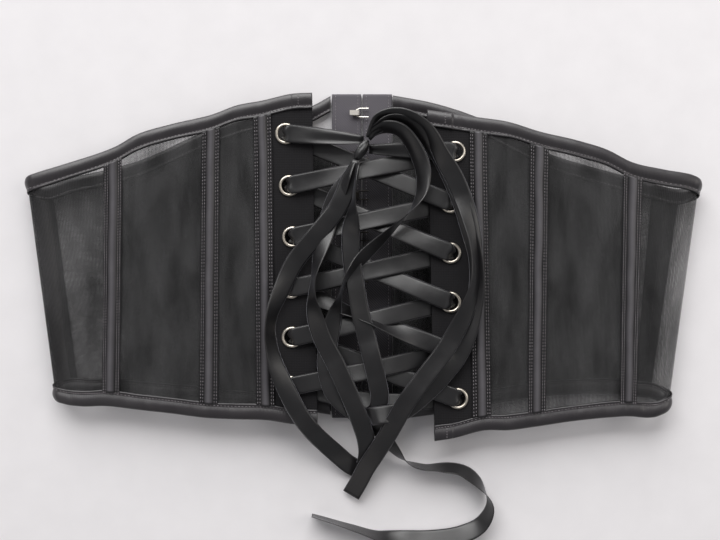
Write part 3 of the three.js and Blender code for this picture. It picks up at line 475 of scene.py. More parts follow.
# "band" gives where the side band begins and ends, from the middle of the fold, and "eyelets" the height of
# each eyelet as a share and its place between the cloth's edge and the inner channel.
BELT = {
    "left": {
        "sign": -1,
        "upper": {
            "placket edge": (0.148, 0.978, 0.132, -0.909),
            "eyelets": (0.206, 0.972, 0.198, -0.904),
            "inner channel": (0.293, 0.933, 0.281, -0.881),
            "first panel": (0.367, 0.906, 0.364, -0.876),
            "middle channel": (0.441, 0.853, 0.449, -0.869),
            "second panel": (0.556, 0.801, 0.556, -0.844),
            "hollow": (0.656, 0.744, 0.65, -0.824),
            "outer channel": (0.724, 0.671, 0.735, -0.804),
            "side panel": (0.871, 0.574, 0.825, -0.804),
        },
        "fold": ((0.997, 0.521, 0.468), (0.911, -0.79, -0.75)),
        "lower": {
            "side": (0.863, 0.511, 0.799, -0.75),
            "hip": (0.755, 0.557, 0.712, -0.757),
            "dip": (0.647, 0.619, 0.615, -0.77),
            "rise": (0.528, 0.725, 0.513, -0.785),
            "panel": (0.411, 0.825, 0.4, -0.81),
            "inner panel": (0.27, 0.893, 0.27, -0.835),
            "near the tape": (0.162, 0.915, 0.162, -0.85),
            "tape": ((TAPE_EDGE - CLOSING_LINE) / HALF_WIDTH, 0.985,
                     (TAPE_EDGE - CLOSING_LINE) / HALF_WIDTH, -0.869),
        },
        "band": (1.5, 13.5),
        "eyelets": (
            (0.744, 0.54), (0.449, 0.48), (0.159, 0.43), (-0.131, 0.48), (-0.409, 0.47), (-0.687, 0.53),
        ),
    },
    "right": {
        "sign": 1,
        "upper": {
            "placket edge": (0.187, 0.881, 0.208, -1),
            "eyelets": (0.268, 0.858, 0.268, -0.981),
            "inner channel": (0.332, 0.839, 0.347, -0.941),
            "first panel": (0.422, 0.813, 0.425, -0.938),
            "middle channel": (0.513, 0.759, 0.504, -0.918),
            "second panel": (0.627, 0.707, 0.618, -0.886),
            "hollow": (0.714, 0.654, 0.705, -0.869),
            "outer channel": (0.785, 0.585, 0.771, -0.861),
            "side panel": (0.88, 0.543, 0.837, -0.869),
        },
        "fold": ((1, 0.512, 0.447), (0.907, -0.853, -0.784)),
        "lower": {
            "side": (0.853, 0.479, 0.799, -0.762),
            "hip": (0.766, 0.525, 0.734, -0.747),
            "dip": (0.669, 0.577, 0.658, -0.747),
            "rise": (0.567, 0.638, 0.561, -0.756),
            "panel": (0.465, 0.737, 0.465, -0.779),
            "inner panel": (0.346, 0.853, 0.346, -0.817),
            "near the tape": (0.216, 0.937, 0.216, -0.865),
            "tape": ((TAPE_EDGE + CLOSING_LINE) / HALF_WIDTH, 0.986,
                     (TAPE_EDGE + CLOSING_LINE) / HALF_WIDTH, -0.898),
        },
        "band": (11, 23),
        "eyelets": (
            (0.642, 0.54), (0.353, 0.43), (0.068, 0.41), (-0.211, 0.39), (-0.495, 0.43), (-0.756, 0.5),
        ),
    },
}
print("rows on a side, without the fold's:", len(BELT["left"]["upper"]) + len(BELT["left"]["lower"]))

# %% [markdown]
# ## Finding a place on the cloth
#
# The rows are laid one after another along the cloth, with more of them round the fold. Each row also gets
# the direction that faces out of the belt there, so a lift off the cloth always points outwards.

# %% The cloth's map
def lay_out(side):
    """Works out the rows of one side of the belt: top end, bottom end and outward direction of each."""
    sign, rows, normals = side["sign"], [], []

    def add_row(top_out, top_up, bottom_out, bottom_up, z, normal):
        rows.append([sign * top_out * HALF_WIDTH, top_up * HALF_HEIGHT, z,
                     sign * bottom_out * HALF_WIDTH, bottom_up * HALF_HEIGHT, z])
        normals.append(normal)

    fold_share = (FOLD_EXTREME - FOLD_RADIUS) / HALF_WIDTH
    for top_out, top_up, bottom_out, bottom_up in side["upper"].values():
        ramp = min(1, max(0, (fold_share - top_out) / (fold_share - FLAT_SHARE)))
        add_row(top_out, top_up, bottom_out, bottom_up, BACK_Z + LAYER_GAP + CENTRE_RISE * ramp, (0, 0, 1))
    (top_out, top_front, top_back), (bottom_out, bottom_front, bottom_back) = side["fold"]
    for step in range(FOLD_STEPS + 1):
        share = step / FOLD_STEPS
        angle = math.pi * (0.5 - share)
        inset = (HALF_WIDTH - FOLD_EXTREME + FOLD_RADIUS * (1 - math.cos(angle))) / HALF_WIDTH
        add_row(top_out - inset, top_front + (top_back - top_front) * share,
                bottom_out - inset, bottom_front + (bottom_back - bottom_front) * share,
                BACK_Z + FOLD_RADIUS * (1 + math.sin(angle)), (sign * math.cos(angle), 0, math.sin(angle)))
    for row in side["lower"].values():
        add_row(*row, BACK_Z, (0, 0, -1))
    rows = np.array(rows)
    side["rows"], side["normals"] = rows, np.array(normals)
    side["runs"] = lengths_to((rows[:, :3] + rows[:, 3:]) / 2)
    side["at"] = dict(zip([*side["upper"], *range(FOLD_STEPS + 1), *side["lower"]], side["runs"]))
    side["fold middle"], side["end"] = side["at"][FOLD_STEPS // 2], side["runs"][-1]


def on_cloth(side, run, share, inset=0.0, lift=0.0):
    """Places on the cloth. All four may be arrays of one shape."""
    run, share, inset, lift = np.broadcast_arrays(*[np.asarray(x, float) for x in (run, share, inset, lift)])
    ends = smooth_line(side["runs"], side["rows"], run)
    top, bottom = ends[..., :3], ends[..., 3:]
    normal = unit(np.stack([np.interp(run, side["runs"], side["normals"][:, k]) for k in range(3)], axis=-1))
    upwards = unit(top - bottom)
    return bottom + (top - bottom) * share[..., None] + upwards * inset[..., None] + normal * lift[..., None]


for name, side in BELT.items():
    lay_out(side)
    print(name, "cloth from lacing to tape, mm:", round(side["end"]))
    print(name, "cloth of it on top, mm:", round(side["fold middle"]))

# %% [markdown]
# ## The net
#
# Sheer nylon net, woven so openly that the table shows through one layer and almost nothing through two.
# Its threads are 0.3 mm apart, too fine to show, so the mesh is drawn 0.7 mm wide. The see-through share
# is the material's alpha: low in the holes and high on the threads. The front panels get a denser copy of the
# net, painted shade for the middle of the belt, which lies in the upper layer's shade. Under them the lower
# layer is doubled, which darkens it there as well, except in its left top corner by the fastening, where it
# is thinned past one layer as painted light, so that the lit table shows. Each panel is a thin sheet with
# slight ripples between the bones, which only hold it where the channels are.

# %% Net material
WARP_PITCH, WEFT_PITCH = 0.72, 0.66
SECOND_LAYER = 0.34  # how much more light the doubled net covers
SEAM_SPREAD = 2  # how soft its edges look through the upper net
CORNER_BOTTOM, CORNER_TOP = 0.069, 0.073  # metres up, between which the open corner begins
CORNER_SHARE = -2.2  # and how far it opens, where -1 would take away the second layer alone


def net(name, least, most, doubled=None, corner=None):
    """Woven net that covers the least share of the light in its holes and the most at its threads. A second
    layer begins at the doubled distance along the cloth, and past the corner one it leaves the top free."""
    material, tree, shader = new_material(name, Roughness=0.6, IOR=1.5, Sheen_Weight=0.12,
                                          Specular_IOR_Level=0.3)
    cloth = add_node(tree, "UVMap", uv_map="cloth").outputs["UV"]
    warp = add_node(tree, "TexWave", {"Vector": cloth, "Scale": WAVE / (WARP_PITCH * MM), "Distortion": 1.6,
                                      "Detail": 2.0, "Detail Scale": 0.4}, bands_direction="X")
    weft = add_node(tree, "TexWave", {"Vector": cloth, "Scale": WAVE / (WEFT_PITCH * MM), "Distortion": 1.6,
                                      "Detail": 2.0, "Detail Scale": 0.4}, bands_direction="Y")
    thread = add_node(tree, "Math", {0: warp.outputs["Fac"], 1: weft.outputs["Fac"]}, operation="MAXIMUM")
    drawn = add_node(tree, "Mapping", {"Vector": cloth, "Scale": (1.9, 0.6, 1)})
    noise = add_node(tree, "TexNoise", {"Vector": drawn.outputs[0], "Scale": 1 / 0.03, "Detail": 3.0,
                                        "Roughness": 0.55, "Distortion": 0.3})
    cloud = add_node(tree, "MapRange", {"Value": noise.outputs["Fac"], "From Min": 0.31,
                                        "From Max": 0.69}).outputs[0]
    uneven = add_node(tree, "Math", {0: cloud, 1: -0.16, 2: 0.08}, operation="MULTIPLY_ADD").outputs[0]
    if doubled:
        far = add_node(tree, "SeparateXYZ", {"Vector": cloth}).outputs["X"]
        second = add_node(tree, "MapRange", {"Value": far, "From Min": (doubled - SEAM_SPREAD) * MM,
                                             "From Max": (doubled + SEAM_SPREAD) * MM,
                                             "To Max": SECOND_LAYER}).outputs[0]
        # Past the corner the net is thinned below one layer: painted light, where light reaches the table.
        if corner:
            place = add_node(tree, "TexCoord").outputs["Object"]
            up = add_node(tree, "SeparateXYZ", {"Vector": place}).outputs["Y"]
            near = add_node(tree, "MapRange", {"Value": far, "From Min": (corner - SEAM_SPREAD) * MM,
                                               "From Max": (corner + SEAM_SPREAD) * MM}).outputs[0]
            high = add_node(tree, "MapRange", {"Value": up, "From Min": CORNER_BOTTOM,
                                               "From Max": CORNER_TOP}).outputs[0]
            free = add_node(tree, "Math", {0: near, 1: high}, operation="MULTIPLY").outputs[0]
            kept = add_node(tree, "Math", {0: free, 1: CORNER_SHARE, 2: 1.0},
                            operation="MULTIPLY_ADD").outputs[0]
            second = add_node(tree, "Math", {0: second, 1: kept}, operation="MULTIPLY").outputs[0]
        uneven = add_node(tree, "Math", {0: uneven, 1: second}, operation="ADD").outputs[0]
    solid = add_node(tree, "MapRange", {"Value": thread.outputs[0], "From Min": 0.3, "From Max": 1.0,
                                        "To Min": least, "To Max": most})
    alpha = add_node(tree, "Math", {0: solid.outputs[0], 1: uneven}, operation="ADD", use_clamp=True)
    tree.links.new(alpha.outputs[0], shader.inputs["Alpha"])
    # The cloud paints the net lighter and darker in soft patches: partly the moiré of the two layers, and
    # partly painted shade of their ripples.
    colour = add_node(tree, "Mix", {0: cloud, 6: linear("#19191a"), 7: linear("#4d4d4e")}, data_type="RGBA")
    tree.links.new(colour.outputs[2], shader.inputs["Base Color"])
    bump = add_node(tree, "Bump", {"Height": thread.outputs[0], "Strength": 0.2, "Distance": 0.0002})
    tree.links.new(bump.outputs[0], shader.inputs["Normal"])
    return material


# The front panels' denser net is painted shade.
net_dense_painted_shade = net("nylon_net_dense_painted_shade", 0.17, 0.7)
net_open = net("nylon_net_woven_open", 0.06, 0.49)
print("net materials:", net_dense_painted_shade.name, net_open.name)

# %% [markdown]
# ## Net panels
#
# Each side of the belt has a front panel between its channels, a side panel that goes round the fold and a
# back panel on the table. A panel is a grid on the cloth's map, its UV map keeps its flat size, and solidify
# gives it its thickness.

# %% Net panels
NET_INSET = 2.05  # from a bound edge to the net's own edge
NET_WALL = 0.3
SEAM = 0.15  # half the gap between two panels
END_GAP = 0.3  # by which the net and the bindings stop short of the cloth's end at the tapes
CORNER_RUN = 30  # of the corner that isn't doubled, along the cloth from the left tape


def ripple(side, run, share):
    """How far the net lies off its middle surface, none at the channels and the bindings."""
    upper = run < side["at"][0]
    bones = [side["at"][row] for row in ("inner channel", "middle channel", "outer channel")]
    bones += [side["fold middle"], side["end"]]
    nearest = np.min([np.abs(run - bone) for bone in bones], axis=0)
    free = np.clip(nearest / 14, 0, 1) * np.clip(share * 8, 0, 1) * np.clip((1 - share) * 8, 0, 1)
    wave = np.sin(run / 9 + 3.1 * share) + 0.6 * np.sin(run / 5.3 - 7 * share + 1)
    wave = wave + 0.5 * np.sin(13 * share + run / 21)
    return free * wave * np.where(upper, 0.5, 0.24)


def net_panel(side_name, panel, start, end, material):
    side = BELT[side_name]
    runs = np.linspace(start, end, max(4, round((end - start) / 2)))[:, None]
    shares = np.linspace(0, 1, 72)[None, :]
    insets = NET_INSET * (1 - 2 * shares)
    points = on_cloth(side, runs, shares, insets, ripple(side, runs, shares))
    height = np.linalg.norm(points[:, -1] - points[:, 0], axis=1)[:, None]
    flat = np.stack(np.broadcast_arrays(runs, shares * height), axis=-1)
    bm = cloth_mesh(points, flat)
    bmesh.ops.solidify(bm, geom=bm.faces[:], thickness=NET_WALL)
    bmesh.ops.recalc_face_normals(bm, faces=bm.faces)
    name = f"net_{panel}_{side_name}"
    piece = finish_piece(f"nylon_{name}", bm, material, [name])


for side_name, side in BELT.items():
    inner, outer = side["at"]["inner channel"], side["at"]["outer channel"]
    band = side["fold middle"] + sum(side["band"]) / 2
    net_panel(side_name, "front", inner + SEAM, outer - SEAM, net_dense_painted_shade)
    net_panel(side_name, "side", outer + SEAM, band - SEAM, net_open)
    under_outer = 2 * side["fold middle"] - outer  # where the lower layer passes under the outer channel
    corner = side["end"] - CORNER_RUN if side_name == "left" else None
    net_doubled = net(f"nylon_net_woven_doubled_{side_name}", 0.05, 0.5, under_outer, corner)
    net_panel(side_name, "back", band + SEAM, side["end"] - END_GAP, net_doubled)

# %% [markdown]
# ## Satin binding
#
# A strip of satin folded over the raw edge of the net and stitched through near its inner edge. The
# stitches pull it in, so it puckers between them, and the fold stands up as a soft roll that catches the
# light. Its outline is a narrow U. At the lacing its end is turned in, which makes it thicker there.

# %% Binding
BINDING_DEPTH = 8.6
STITCH = 1.8  # length of a stitch with its gap
SEAM_DEPTH = 7.1  # of the stitched line from the bound edge
TAB_LENGTH, TAB_EXTRA = 12.0, 0.5  # the turned-in end, and how much thicker it is
TAB_SEAM = 8.0  # of the seam across the turned-in end, from the lacing
SLOT = 0.8  # half the space inside, for the net's edge
# Outline of the binding's upper half: distance in from the bound edge, and height off the cloth's middle.
BINDING_OUTLINE = np.array([
    (0, 0), (0.12, 0.5), (0.5, 0.92), (1.2, 1.3), (2.2, 1.64), (3.2, 1.78), (4.2, 1.74), (5.2, 1.54),
    (6.2, 1.2), (7.1, 0.9), (7.6, 1.14), (8.2, 1.32), (8.6, 1.15), (8.6, 0.8), (6, 0.8), (2.6, 0.8),
    (1.6, 0.4),
])
# How much of the puckers each of the outline's corners takes
PUCKER = np.array([0, 0, 0.1, 0.2, 0.3, 0.45, 0.7, 0.9, 1, 1, 1, 0.8, 0.4, 0, 0, 0, 0])
binding_satin = satin("binding_polyester_satin_folded", "#1d1a1d", "#2b272b", 0.4, 0.55, sheen=0.12,
                      shine=0.8)


def binding(side_name, edge):
    side = BELT[side_name]
    share, inwards = (1, -1) if edge == "top" else (0, 1)
    spacing = STITCH / 3
    runs = np.arange(0, side["end"] - END_GAP, spacing)
    depth = np.concatenate([BINDING_OUTLINE[:, 0], BINDING_OUTLINE[::-1, 0]])
    height = np.concatenate([BINDING_OUTLINE[:, 1], -BINDING_OUTLINE[::-1, 1]])
    pucker = np.concatenate([PUCKER, PUCKER[::-1]])
    depth, height, pucker = (np.append(x, x[0]) for x in (depth, height, pucker))
    seed = len(side_name) * 7 + len(edge)
    puckers = (np.cos(runs / STITCH * 2 * math.pi) * 0.06
               + 0.18 * wander(len(runs), spacing, 3.5, seed)
               + 0.12 * wander(len(runs), spacing, 10, seed + 1))
    tab = np.where(runs < TAB_LENGTH, TAB_EXTRA, 0.0)
    waver = 0.3 * wander(len(runs), spacing, 16, seed + 2)
    outside = np.sign(height) * (np.abs(height) > SLOT)
    lift = height[None, :] + outside[None, :] * (puckers[:, None] * pucker[None, :] + tab[:, None])
    inner = np.clip(depth / BINDING_DEPTH, 0, 1) ** 2
    insets = inwards * (depth[None, :] + waver[:, None] * inner[None, :])
    points = on_cloth(side, runs[:, None], share, insets, lift)
    around = lengths_to(np.stack([depth, height], axis=1))
    flat = np.stack(np.broadcast_arrays(runs[:, None], around[None, :]), axis=-1)
    name = f"binding_{edge}_{side_name}"
    finish_piece(f"satin_{name}", cloth_mesh(points, flat, tube=True), binding_satin, [name])


for side_name in BELT:
    for edge in ("top", "bottom"):
        binding(side_name, edge)
print("stitches a binding:", round(BELT["left"]["end"] / STITCH))

# %% [markdown]
# ## Boning channels and side bands
#
# A boning channel is a satin tape stitched down on both sides of a flat steel bone, which shows as a
# rounded rib between two flat stitched edges. The rib's top is painted lighter, a painted highlight, and the
# cloth beside it is painted darker, painted shade. It runs from binding to binding. The bands at the side
# seams are flat strips of satin, sewn on the lower layer, and they show dark through the net.

# %% Channels and bands
CHANNEL_HALF = 4.9
UNDER = 0.8  # from the cloth's middle to what lies on it
# Places across it and heights: a flat edge with two grooves for the stitches, the rib, and the other edge.
CHANNEL_OUTLINE = np.array([
    (-CHANNEL_HALF, 0.1), (-CHANNEL_HALF, 0.55), (-4.6, 0.72), (-4.2, 0.62), (-3.6, 0.74), (-3.0, 0.58),
    (-2.6, 0.72), (-2.2, 1.3), (-1.5, 1.8), (-0.8, 1.96), (0, 2.0), (0.8, 1.96), (1.5, 1.8), (2.2, 1.3),
    (2.6, 0.72), (3.0, 0.58), (3.6, 0.74), (4.2, 0.62), (4.6, 0.72), (CHANNEL_HALF, 0.55),
    (CHANNEL_HALF, 0.1), (0, 0),
])
OVERLAP = 0.25  # of a channel's end and the binding
# The channel's light base colour on the rib's top is a painted highlight, and the first band, dark over the
# rib's flanks, is painted shade.
channel_satin = satin("channel_polyester_satin_tape", "#4a484b", "#605e62", 0.36, 0.5,
                      bands=[(0.3, 3.1, "#0b0a0b"), (3.3, 3.6, "#1a191b")], sheen=0.06, shine=0.4)


def cloth_strip(name, side, middle, outline, material, seed, waver=0.0):
    """A strip from binding to binding, whose outline gives places across it and heights over the cloth."""
    steps = 210
    shares = np.linspace(0, 1, steps)[:, None]
    closed = np.vstack([outline, outline[:1]])
    insets = (BINDING_DEPTH - OVERLAP) * (1 - 2 * shares)
    across = closed[None, :, 0] + waver * wander(steps, 0.8, 18, seed)[:, None]
    stitched = (closed[:, 1] < 0.8) & (closed[:, 1] > 0.3)
    puckers = 0.07 * np.cos(np.arange(steps) / 3 * 2 * math.pi) + 0.06 * wander(steps, 0.8, 5, seed + 1)
    lift = UNDER + closed[None, :, 1] + puckers[:, None] * stitched[None, :]
    points = on_cloth(side, middle + across, shares, insets, lift)
    height = np.linalg.norm(points[-1, 0] - points[0, 0])
    around = lengths_to(closed)
    around -= around[outline[:, 1].argmax()]  # so that a satin's bands lie on both sides of the rib's top
    flat = np.stack(np.broadcast_arrays(shares * height, around[None, :]), axis=-1)
    return finish_piece(f"satin_{name}", cloth_mesh(points, flat, tube=True), material, [name])


BAND_HEIGHT = 0.7
for number, (side_name, side) in enumerate(BELT.items()):
    for place in ("inner", "middle", "outer"):
        cloth_strip(f"channel_{place}_{side_name}", side, side["at"][f"{place} channel"], CHANNEL_OUTLINE,
                    channel_satin, number * 10 + len(place), waver=0.25)
    start, end = (side["fold middle"] + x for x in side["band"])
    half = (end - start) / 2
    outline = np.array([(-half, 0.05), (-half, BAND_HEIGHT - 0.1), (-half + 0.3, BAND_HEIGHT),
                        (half - 0.3, BAND_HEIGHT), (half, BAND_HEIGHT - 0.1), (half, 0.05)])
    cloth_strip(f"side_band_{side_name}", side, (start + end) / 2, outline, binding_satin,
                number)
print("channel width, mm:", 2 * CHANNEL_HALF)

# %% [markdown]
# ## Plackets
#
# The eyelets need firm cloth, so the net is doubled with a plain woven cotton along the lacing. The solid
# already has its outline and round holes, so its mesh is copied, its corners are joined and its flat
# faces are merged, and its edges are rounded with a bevel.

# %% Placket cloth
def plain_cloth(name, dark, light, pitch):
    """Plain weave: warp and weft cross, and each thread is a small rounded bump."""
    material, tree, shader = new_material(name, Roughness=0.85, IOR=1.45, Specular_IOR_Level=0.3)
    place = add_node(tree, "TexCoord").outputs["Object"]
    warp = add_node(tree, "TexWave", {"Vector": place, "Scale": WAVE / (pitch * MM), "Distortion": 0.8},
                    bands_direction="X")
    weft = add_node(tree, "TexWave", {"Vector": place, "Scale": WAVE / (pitch * MM), "Distortion": 0.8},
                    bands_direction="Y")
    weave = add_node(tree, "Math", {0: warp.outputs["Fac"], 1: weft.outputs["Fac"]}, operation="MULTIPLY")
    cloud = add_node(tree, "TexNoise", {"Vector": place, "Scale": 1 / 0.02, "Detail": 4.0})
    both = add_node(tree, "Math", {0: weave.outputs[0], 1: cloud.outputs["Fac"]}, operation="MULTIPLY")
    colour = add_node(tree, "Mix", {0: both.outputs[0], 6: linear(dark), 7: linear(light)}, data_type="RGBA")
    tree.links.new(colour.outputs[2], shader.inputs["Base Color"])
    bump = add_node(tree, "Bump", {"Height": weave.outputs[0], "Strength": 0.4, "Distance": 0.0003})
    tree.links.new(bump.outputs[0], shader.inputs["Normal"])
    return material


placket_cotton = plain_cloth("placket_cotton_plain_weave", "#181719", "#28272a", 0.9)
for side_name in BELT:
    name = f"placket_{side_name}"
    bm = bmesh.new()
    bm.from_mesh(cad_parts[name].data)
    bmesh.ops.scale(bm, vec=(1000, 1000, 1000), verts=bm.verts)
    bmesh.ops.remove_doubles(bm, verts=bm.verts, dist=1e-3)
    bmesh.ops.dissolve_limit(bm, angle_limit=math.radians(2), verts=bm.verts, edges=bm.edges)
    rim = [edge for edge in bm.edges if edge.calc_face_angle(0) > math.radians(60)]
    bmesh.ops.bevel(bm, geom=rim, offset=0.3, segments=2, profile=0.5, affect="EDGES", material=-1)
    finish_piece(f"cotton_{name}", bm, placket_cotton, [name], flat_shading=True)
print("placket material:", placket_cotton.name)

# %% [markdown]
# ## Tapes of the hook and eye fastening
#
# Two narrow strips of heavy cotton twill meet under the middle of the belt. Twill shows as fine slanting
# ribs, which a Wave texture gives on diagonal bands. Each strip is folded round its edges and stitched. Its
# top end, out in the light, is painted lighter than the rest, which the lacing covers and shades: painted
# light above and painted shade below.

# %% Tapes
def twill(name):
    material, tree, shader = new_material(name, Roughness=0.8, IOR=1.45, Sheen_Weight=0.2)
    place = add_node(tree, "TexCoord").outputs["Object"]
    ribs = add_node(tree, "TexWave", {"Vector": place, "Scale": WAVE / (0.7 * MM), "Distortion": 0.8},
                    bands_direction="DIAGONAL")
    cloud = add_node(tree, "TexNoise", {"Vector": place, "Scale": 1 / 0.015, "Detail": 4.0})
    both = add_node(tree, "Math", {0: ribs.outputs["Fac"], 1: cloud.outputs["Fac"]}, operation="MULTIPLY")
    # Painted light and shade: the tape is painted lighter towards its top end and darker below it.
    up = add_node(tree, "SeparateXYZ", {"Vector": place}).outputs["Y"]
    tone_shift = add_node(tree, "MapRange", {"Value": up, "From Min": 0.055, "From Max": 0.078, "To Min": 0.2,
                                       "To Max": 0.8})
    tint = add_node(tree, "Math", {0: both.outputs[0], 1: 0.75, 2: tone_shift.outputs[0]}, operation="MULTIPLY_ADD",
                    use_clamp=True)
    colour = add_node(tree, "Mix", {0: tint.outputs[0], 6: linear("#131214"), 7: linear("#5c595f")},
                      data_type="RGBA")
    tree.links.new(colour.outputs[2], shader.inputs["Base Color"])
    bump = add_node(tree, "Bump", {"Height": ribs.outputs["Fac"], "Strength": 0.15, "Distance": 0.0002})
    tree.links.new(bump.outputs[0], shader.inputs["Normal"])
    return material


twill_cotton = twill("tape_cotton_twill")


def tape(name, edge, inner, top, bottom):
    """A folded tape with soft long edges and a shallow groove where each is stitched."""
    sign = 1 if inner > edge else -1
    width = abs(inner - edge)
    outline = np.array([
        (0, 0.9), (0.15, 0.3), (0.6, 0), (width - 0.6, 0), (width - 0.15, 0.3), (width, 0.9), (width, 2.0),
        (width - 0.3, 2.55), (width - 0.9, 2.75), (width - 2, 2.55), (width - 3, 2.75), (3, 2.75), (2, 2.55),
        (0.9, 2.75), (0.3, 2.55), (0, 2.0), (0, 0.9),
    ])
    spacing = 1.3
    steps = np.arange(bottom, top, spacing)
    waver = 0.12 * wander(len(steps), spacing, 9, len(name))
    soft = (outline[:, 0] < 0.2) | (outline[:, 0] > width - 0.2)
    points = np.zeros((len(steps), len(outline), 3))
    points[..., 0] = edge + sign * (outline[None, :, 0] * 0.996 + waver[:, None] * soft[None, :] * 0.3)
    points[..., 1] = steps[:, None]
    uneven = 0.05 * wander(len(steps), spacing, 4, 2)
    points[..., 2] = outline[None, :, 1] + uneven[:, None] * (outline[None, :, 1] > 2)
    flat = np.stack(np.broadcast_arrays(steps[:, None], lengths_to(outline)[None, :]), axis=-1)
    return finish_piece(f"twill_{name}", cloth_mesh(points, flat, tube=True), twill_cotton, [name])


TAPE_TOP, TAPE_BOTTOM = HALF_HEIGHT, -0.885 * HALF_HEIGHT
TAPE_GAP = 0.3  # from each tape to the closing line
tape("hook_tape", CLOSING_LINE - TAPE_EDGE, CLOSING_LINE - TAPE_GAP, TAPE_TOP, TAPE_BOTTOM)
tape("eye_tape", CLOSING_LINE + TAPE_EDGE, CLOSING_LINE + TAPE_GAP, TAPE_TOP, TAPE_BOTTOM)
print("tape width, mm:", TAPE_EDGE)

# %% [markdown]
# ## Nickel
#
# The eyelets and hooks are brass or steel with a polished nickel plating, a metal with a slightly warm
# tint. Fine rubbing marks from handling blur its shine here and there, so noise drives the roughness. The
# lower hooks, in the lacing's shade, get a dark copy of the metal, which is painted shade.
# An eyelet is pressed from sheet into a domed ring, which is a small outline spun round its middle.

# %% Nickel and eyelets
def nickel(name, colour, rubbed_colour, roughness):
    material, tree, shader = new_material(name, Metallic=1.0, Base_Color=linear(colour))
    place = add_node(tree, "TexCoord").outputs["Object"]
    rubbed = add_node(tree, "TexNoise", {"Vector": place, "Scale": 1 / 0.004, "Detail": 3.0})
    rough = add_node(tree, "MapRange", {"Value": rubbed.outputs["Fac"], "From Min": 0.35, "From Max": 0.7,
                                        "To Min": roughness, "To Max": roughness + 0.06})
    tree.links.new(rough.outputs[0], shader.inputs["Roughness"])
    tone_shift = add_node(tree, "Mix", {0: rubbed.outputs["Fac"], 6: linear(colour), 7: linear(rubbed_colour)},
                    data_type="RGBA")
    tree.links.new(tone_shift.outputs[2], shader.inputs["Base Color"])
    bump = add_node(tree, "Bump", {"Height": rubbed.outputs["Fac"], "Strength": 0.02, "Distance": 0.0001})
    tree.links.new(bump.outputs[0], shader.inputs["Normal"])
    return material


nickel_polished = nickel("eyelet_nickel_plate_polished", "#f2ebe0", "#c4bbac", 0.34)
nickel_wire = nickel("hook_nickel_plate_drawn", "#f6f3ee", "#d6d0c6", 0.4)
# A dark copy of the nickel for the lower hooks: painted shade, for the lacing's shadow over them.
nickel_painted_shade = nickel("hook_nickel_plate_painted_shade", "#2a2827", "#4c4844", 0.5)
PLACKET_Z = BACK_Z + LAYER_GAP + CENTRE_RISE
# Distances from the eyelet's middle and heights: up over the flange, down the tube and round the back ring
EYELET_OUTLINE = [
    (4.15, 1.15), (4.3, 1.55), (4.65, 1.8), (5.1, 1.78), (5.5, 1.5), (5.75, 1.1), (5.8, 0.82), (4.75, 0.8),
    (4.75, -0.8), (5.8, -0.82), (5.5, -1.35), (5.0, -1.5), (4.5, -1.35), (4.15, -1.0),
]


def eyelet(name, centre):
    bm = bmesh.new()
    profile = [bm.verts.new((radius, 0, height)) for radius, height in EYELET_OUTLINE]
    edges = [bm.edges.new((a, b)) for a, b in zip(profile, profile[1:] + profile[:1])]
    bmesh.ops.spin(bm, geom=[*profile, *edges], cent=(0, 0, 0), axis=(0, 0, 1), angle=math.tau, steps=40,
                   use_merge=True)
    bmesh.ops.remove_doubles(bm, verts=bm.verts, dist=1e-3)
    bmesh.ops.translate(bm, vec=centre, verts=bm.verts)
    bmesh.ops.recalc_face_normals(bm, faces=bm.faces)
    return finish_piece(f"nickel_{name}", bm, nickel_polished, [name])


EDGE_ROW, SEAM_ROW = 0, 2  # the cloth's edge at the lacing, and the inner channel
for side_name, side in BELT.items():
    top, bottom = side["rows"][EDGE_ROW][:3], side["rows"][EDGE_ROW][3:]
    seam_top, seam_bottom = side["rows"][SEAM_ROW][:3], side["rows"][SEAM_ROW][3:]
    side["centres"] = []
    for number, (height, inset) in enumerate(side["eyelets"]):
        y = height * HALF_HEIGHT
        share = (y - bottom[1]) / (top[1] - bottom[1])
        edge_x = bottom[0] + (top[0] - bottom[0]) * share
        seam_x = seam_bottom[0] + (seam_top[0] - seam_bottom[0]) * share
        centre = np.array([edge_x + (seam_x - edge_x) * inset, y, PLACKET_Z])
        side["centres"].append(centre)
        eyelet(f"eyelet_{side_name}_{number + 1}", centre)
# The top hook gets the bright nickel, the others the dark copy, which is painted shade.
for name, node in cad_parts.items():
    if name.startswith(("hook_", "eye_")) and not name.endswith("tape"):
        node.data.materials.clear()
        node.data.materials.append(nickel_wire if name.endswith("_1") else nickel_painted_shade)
print("eyelets:", sum(len(side["centres"]) for side in BELT.values()))

# %% [markdown]
# ## The lacing
#
# One ribbon laces the belt. It starts at the knot, zigzags down through the eyelets, crosses under the two
# bottom ones and zigzags back up to the knot. Each strap comes up out of an eyelet, crosses the gap and
# goes under the other placket, so half the straps lie over the others where they cross. In an eyelet the
# ribbon is squeezed into one soft fold.

# %% Through an eyelet
# Distance out from the eyelet's middle, share of the strap's height, and width of the ribbon there
THROUGH = np.array([(-1.4, 0.1, 6.2), (-0.7, 0.6, 7.0), (0.8, 0.98, 9.4), (3.4, 1.0, 10.0)])
STRAP_HEIGHT, UNDER_HEIGHT = 2.7, -2.6  # of the ribbon's middle over the placket's, and below it
CROSSING_LIFT = 1.3  # how far the upper strap rises, and the lower one dips, where they cross
STRAP_STEPS = 10
BOTTOM_ROW = 5
BAR_SLACK = 5.0  # how far the bar between the bottom eyelets hangs out of its straight line
STRAND_ENDS = {"left": (1.2, 5.8, 0), "right": (4, 1, 0)}  # from the knot's middle
STRAND_WIDTH = 5  # where a strand goes under the knot
STRAND_TILT = {"left": -18, "right": 14}  # degrees at the knot
BAR_TILT = -20  # degrees at its middle
KNOT = np.array([-0.8, 61.1, 19.7])  # its middle
KNOT_HALF = (2.8, 6.5, 2.4)  # half its width, its length and its height
KNOT_TURN = -32  # degrees from the Y axis to the line it is drawn out along
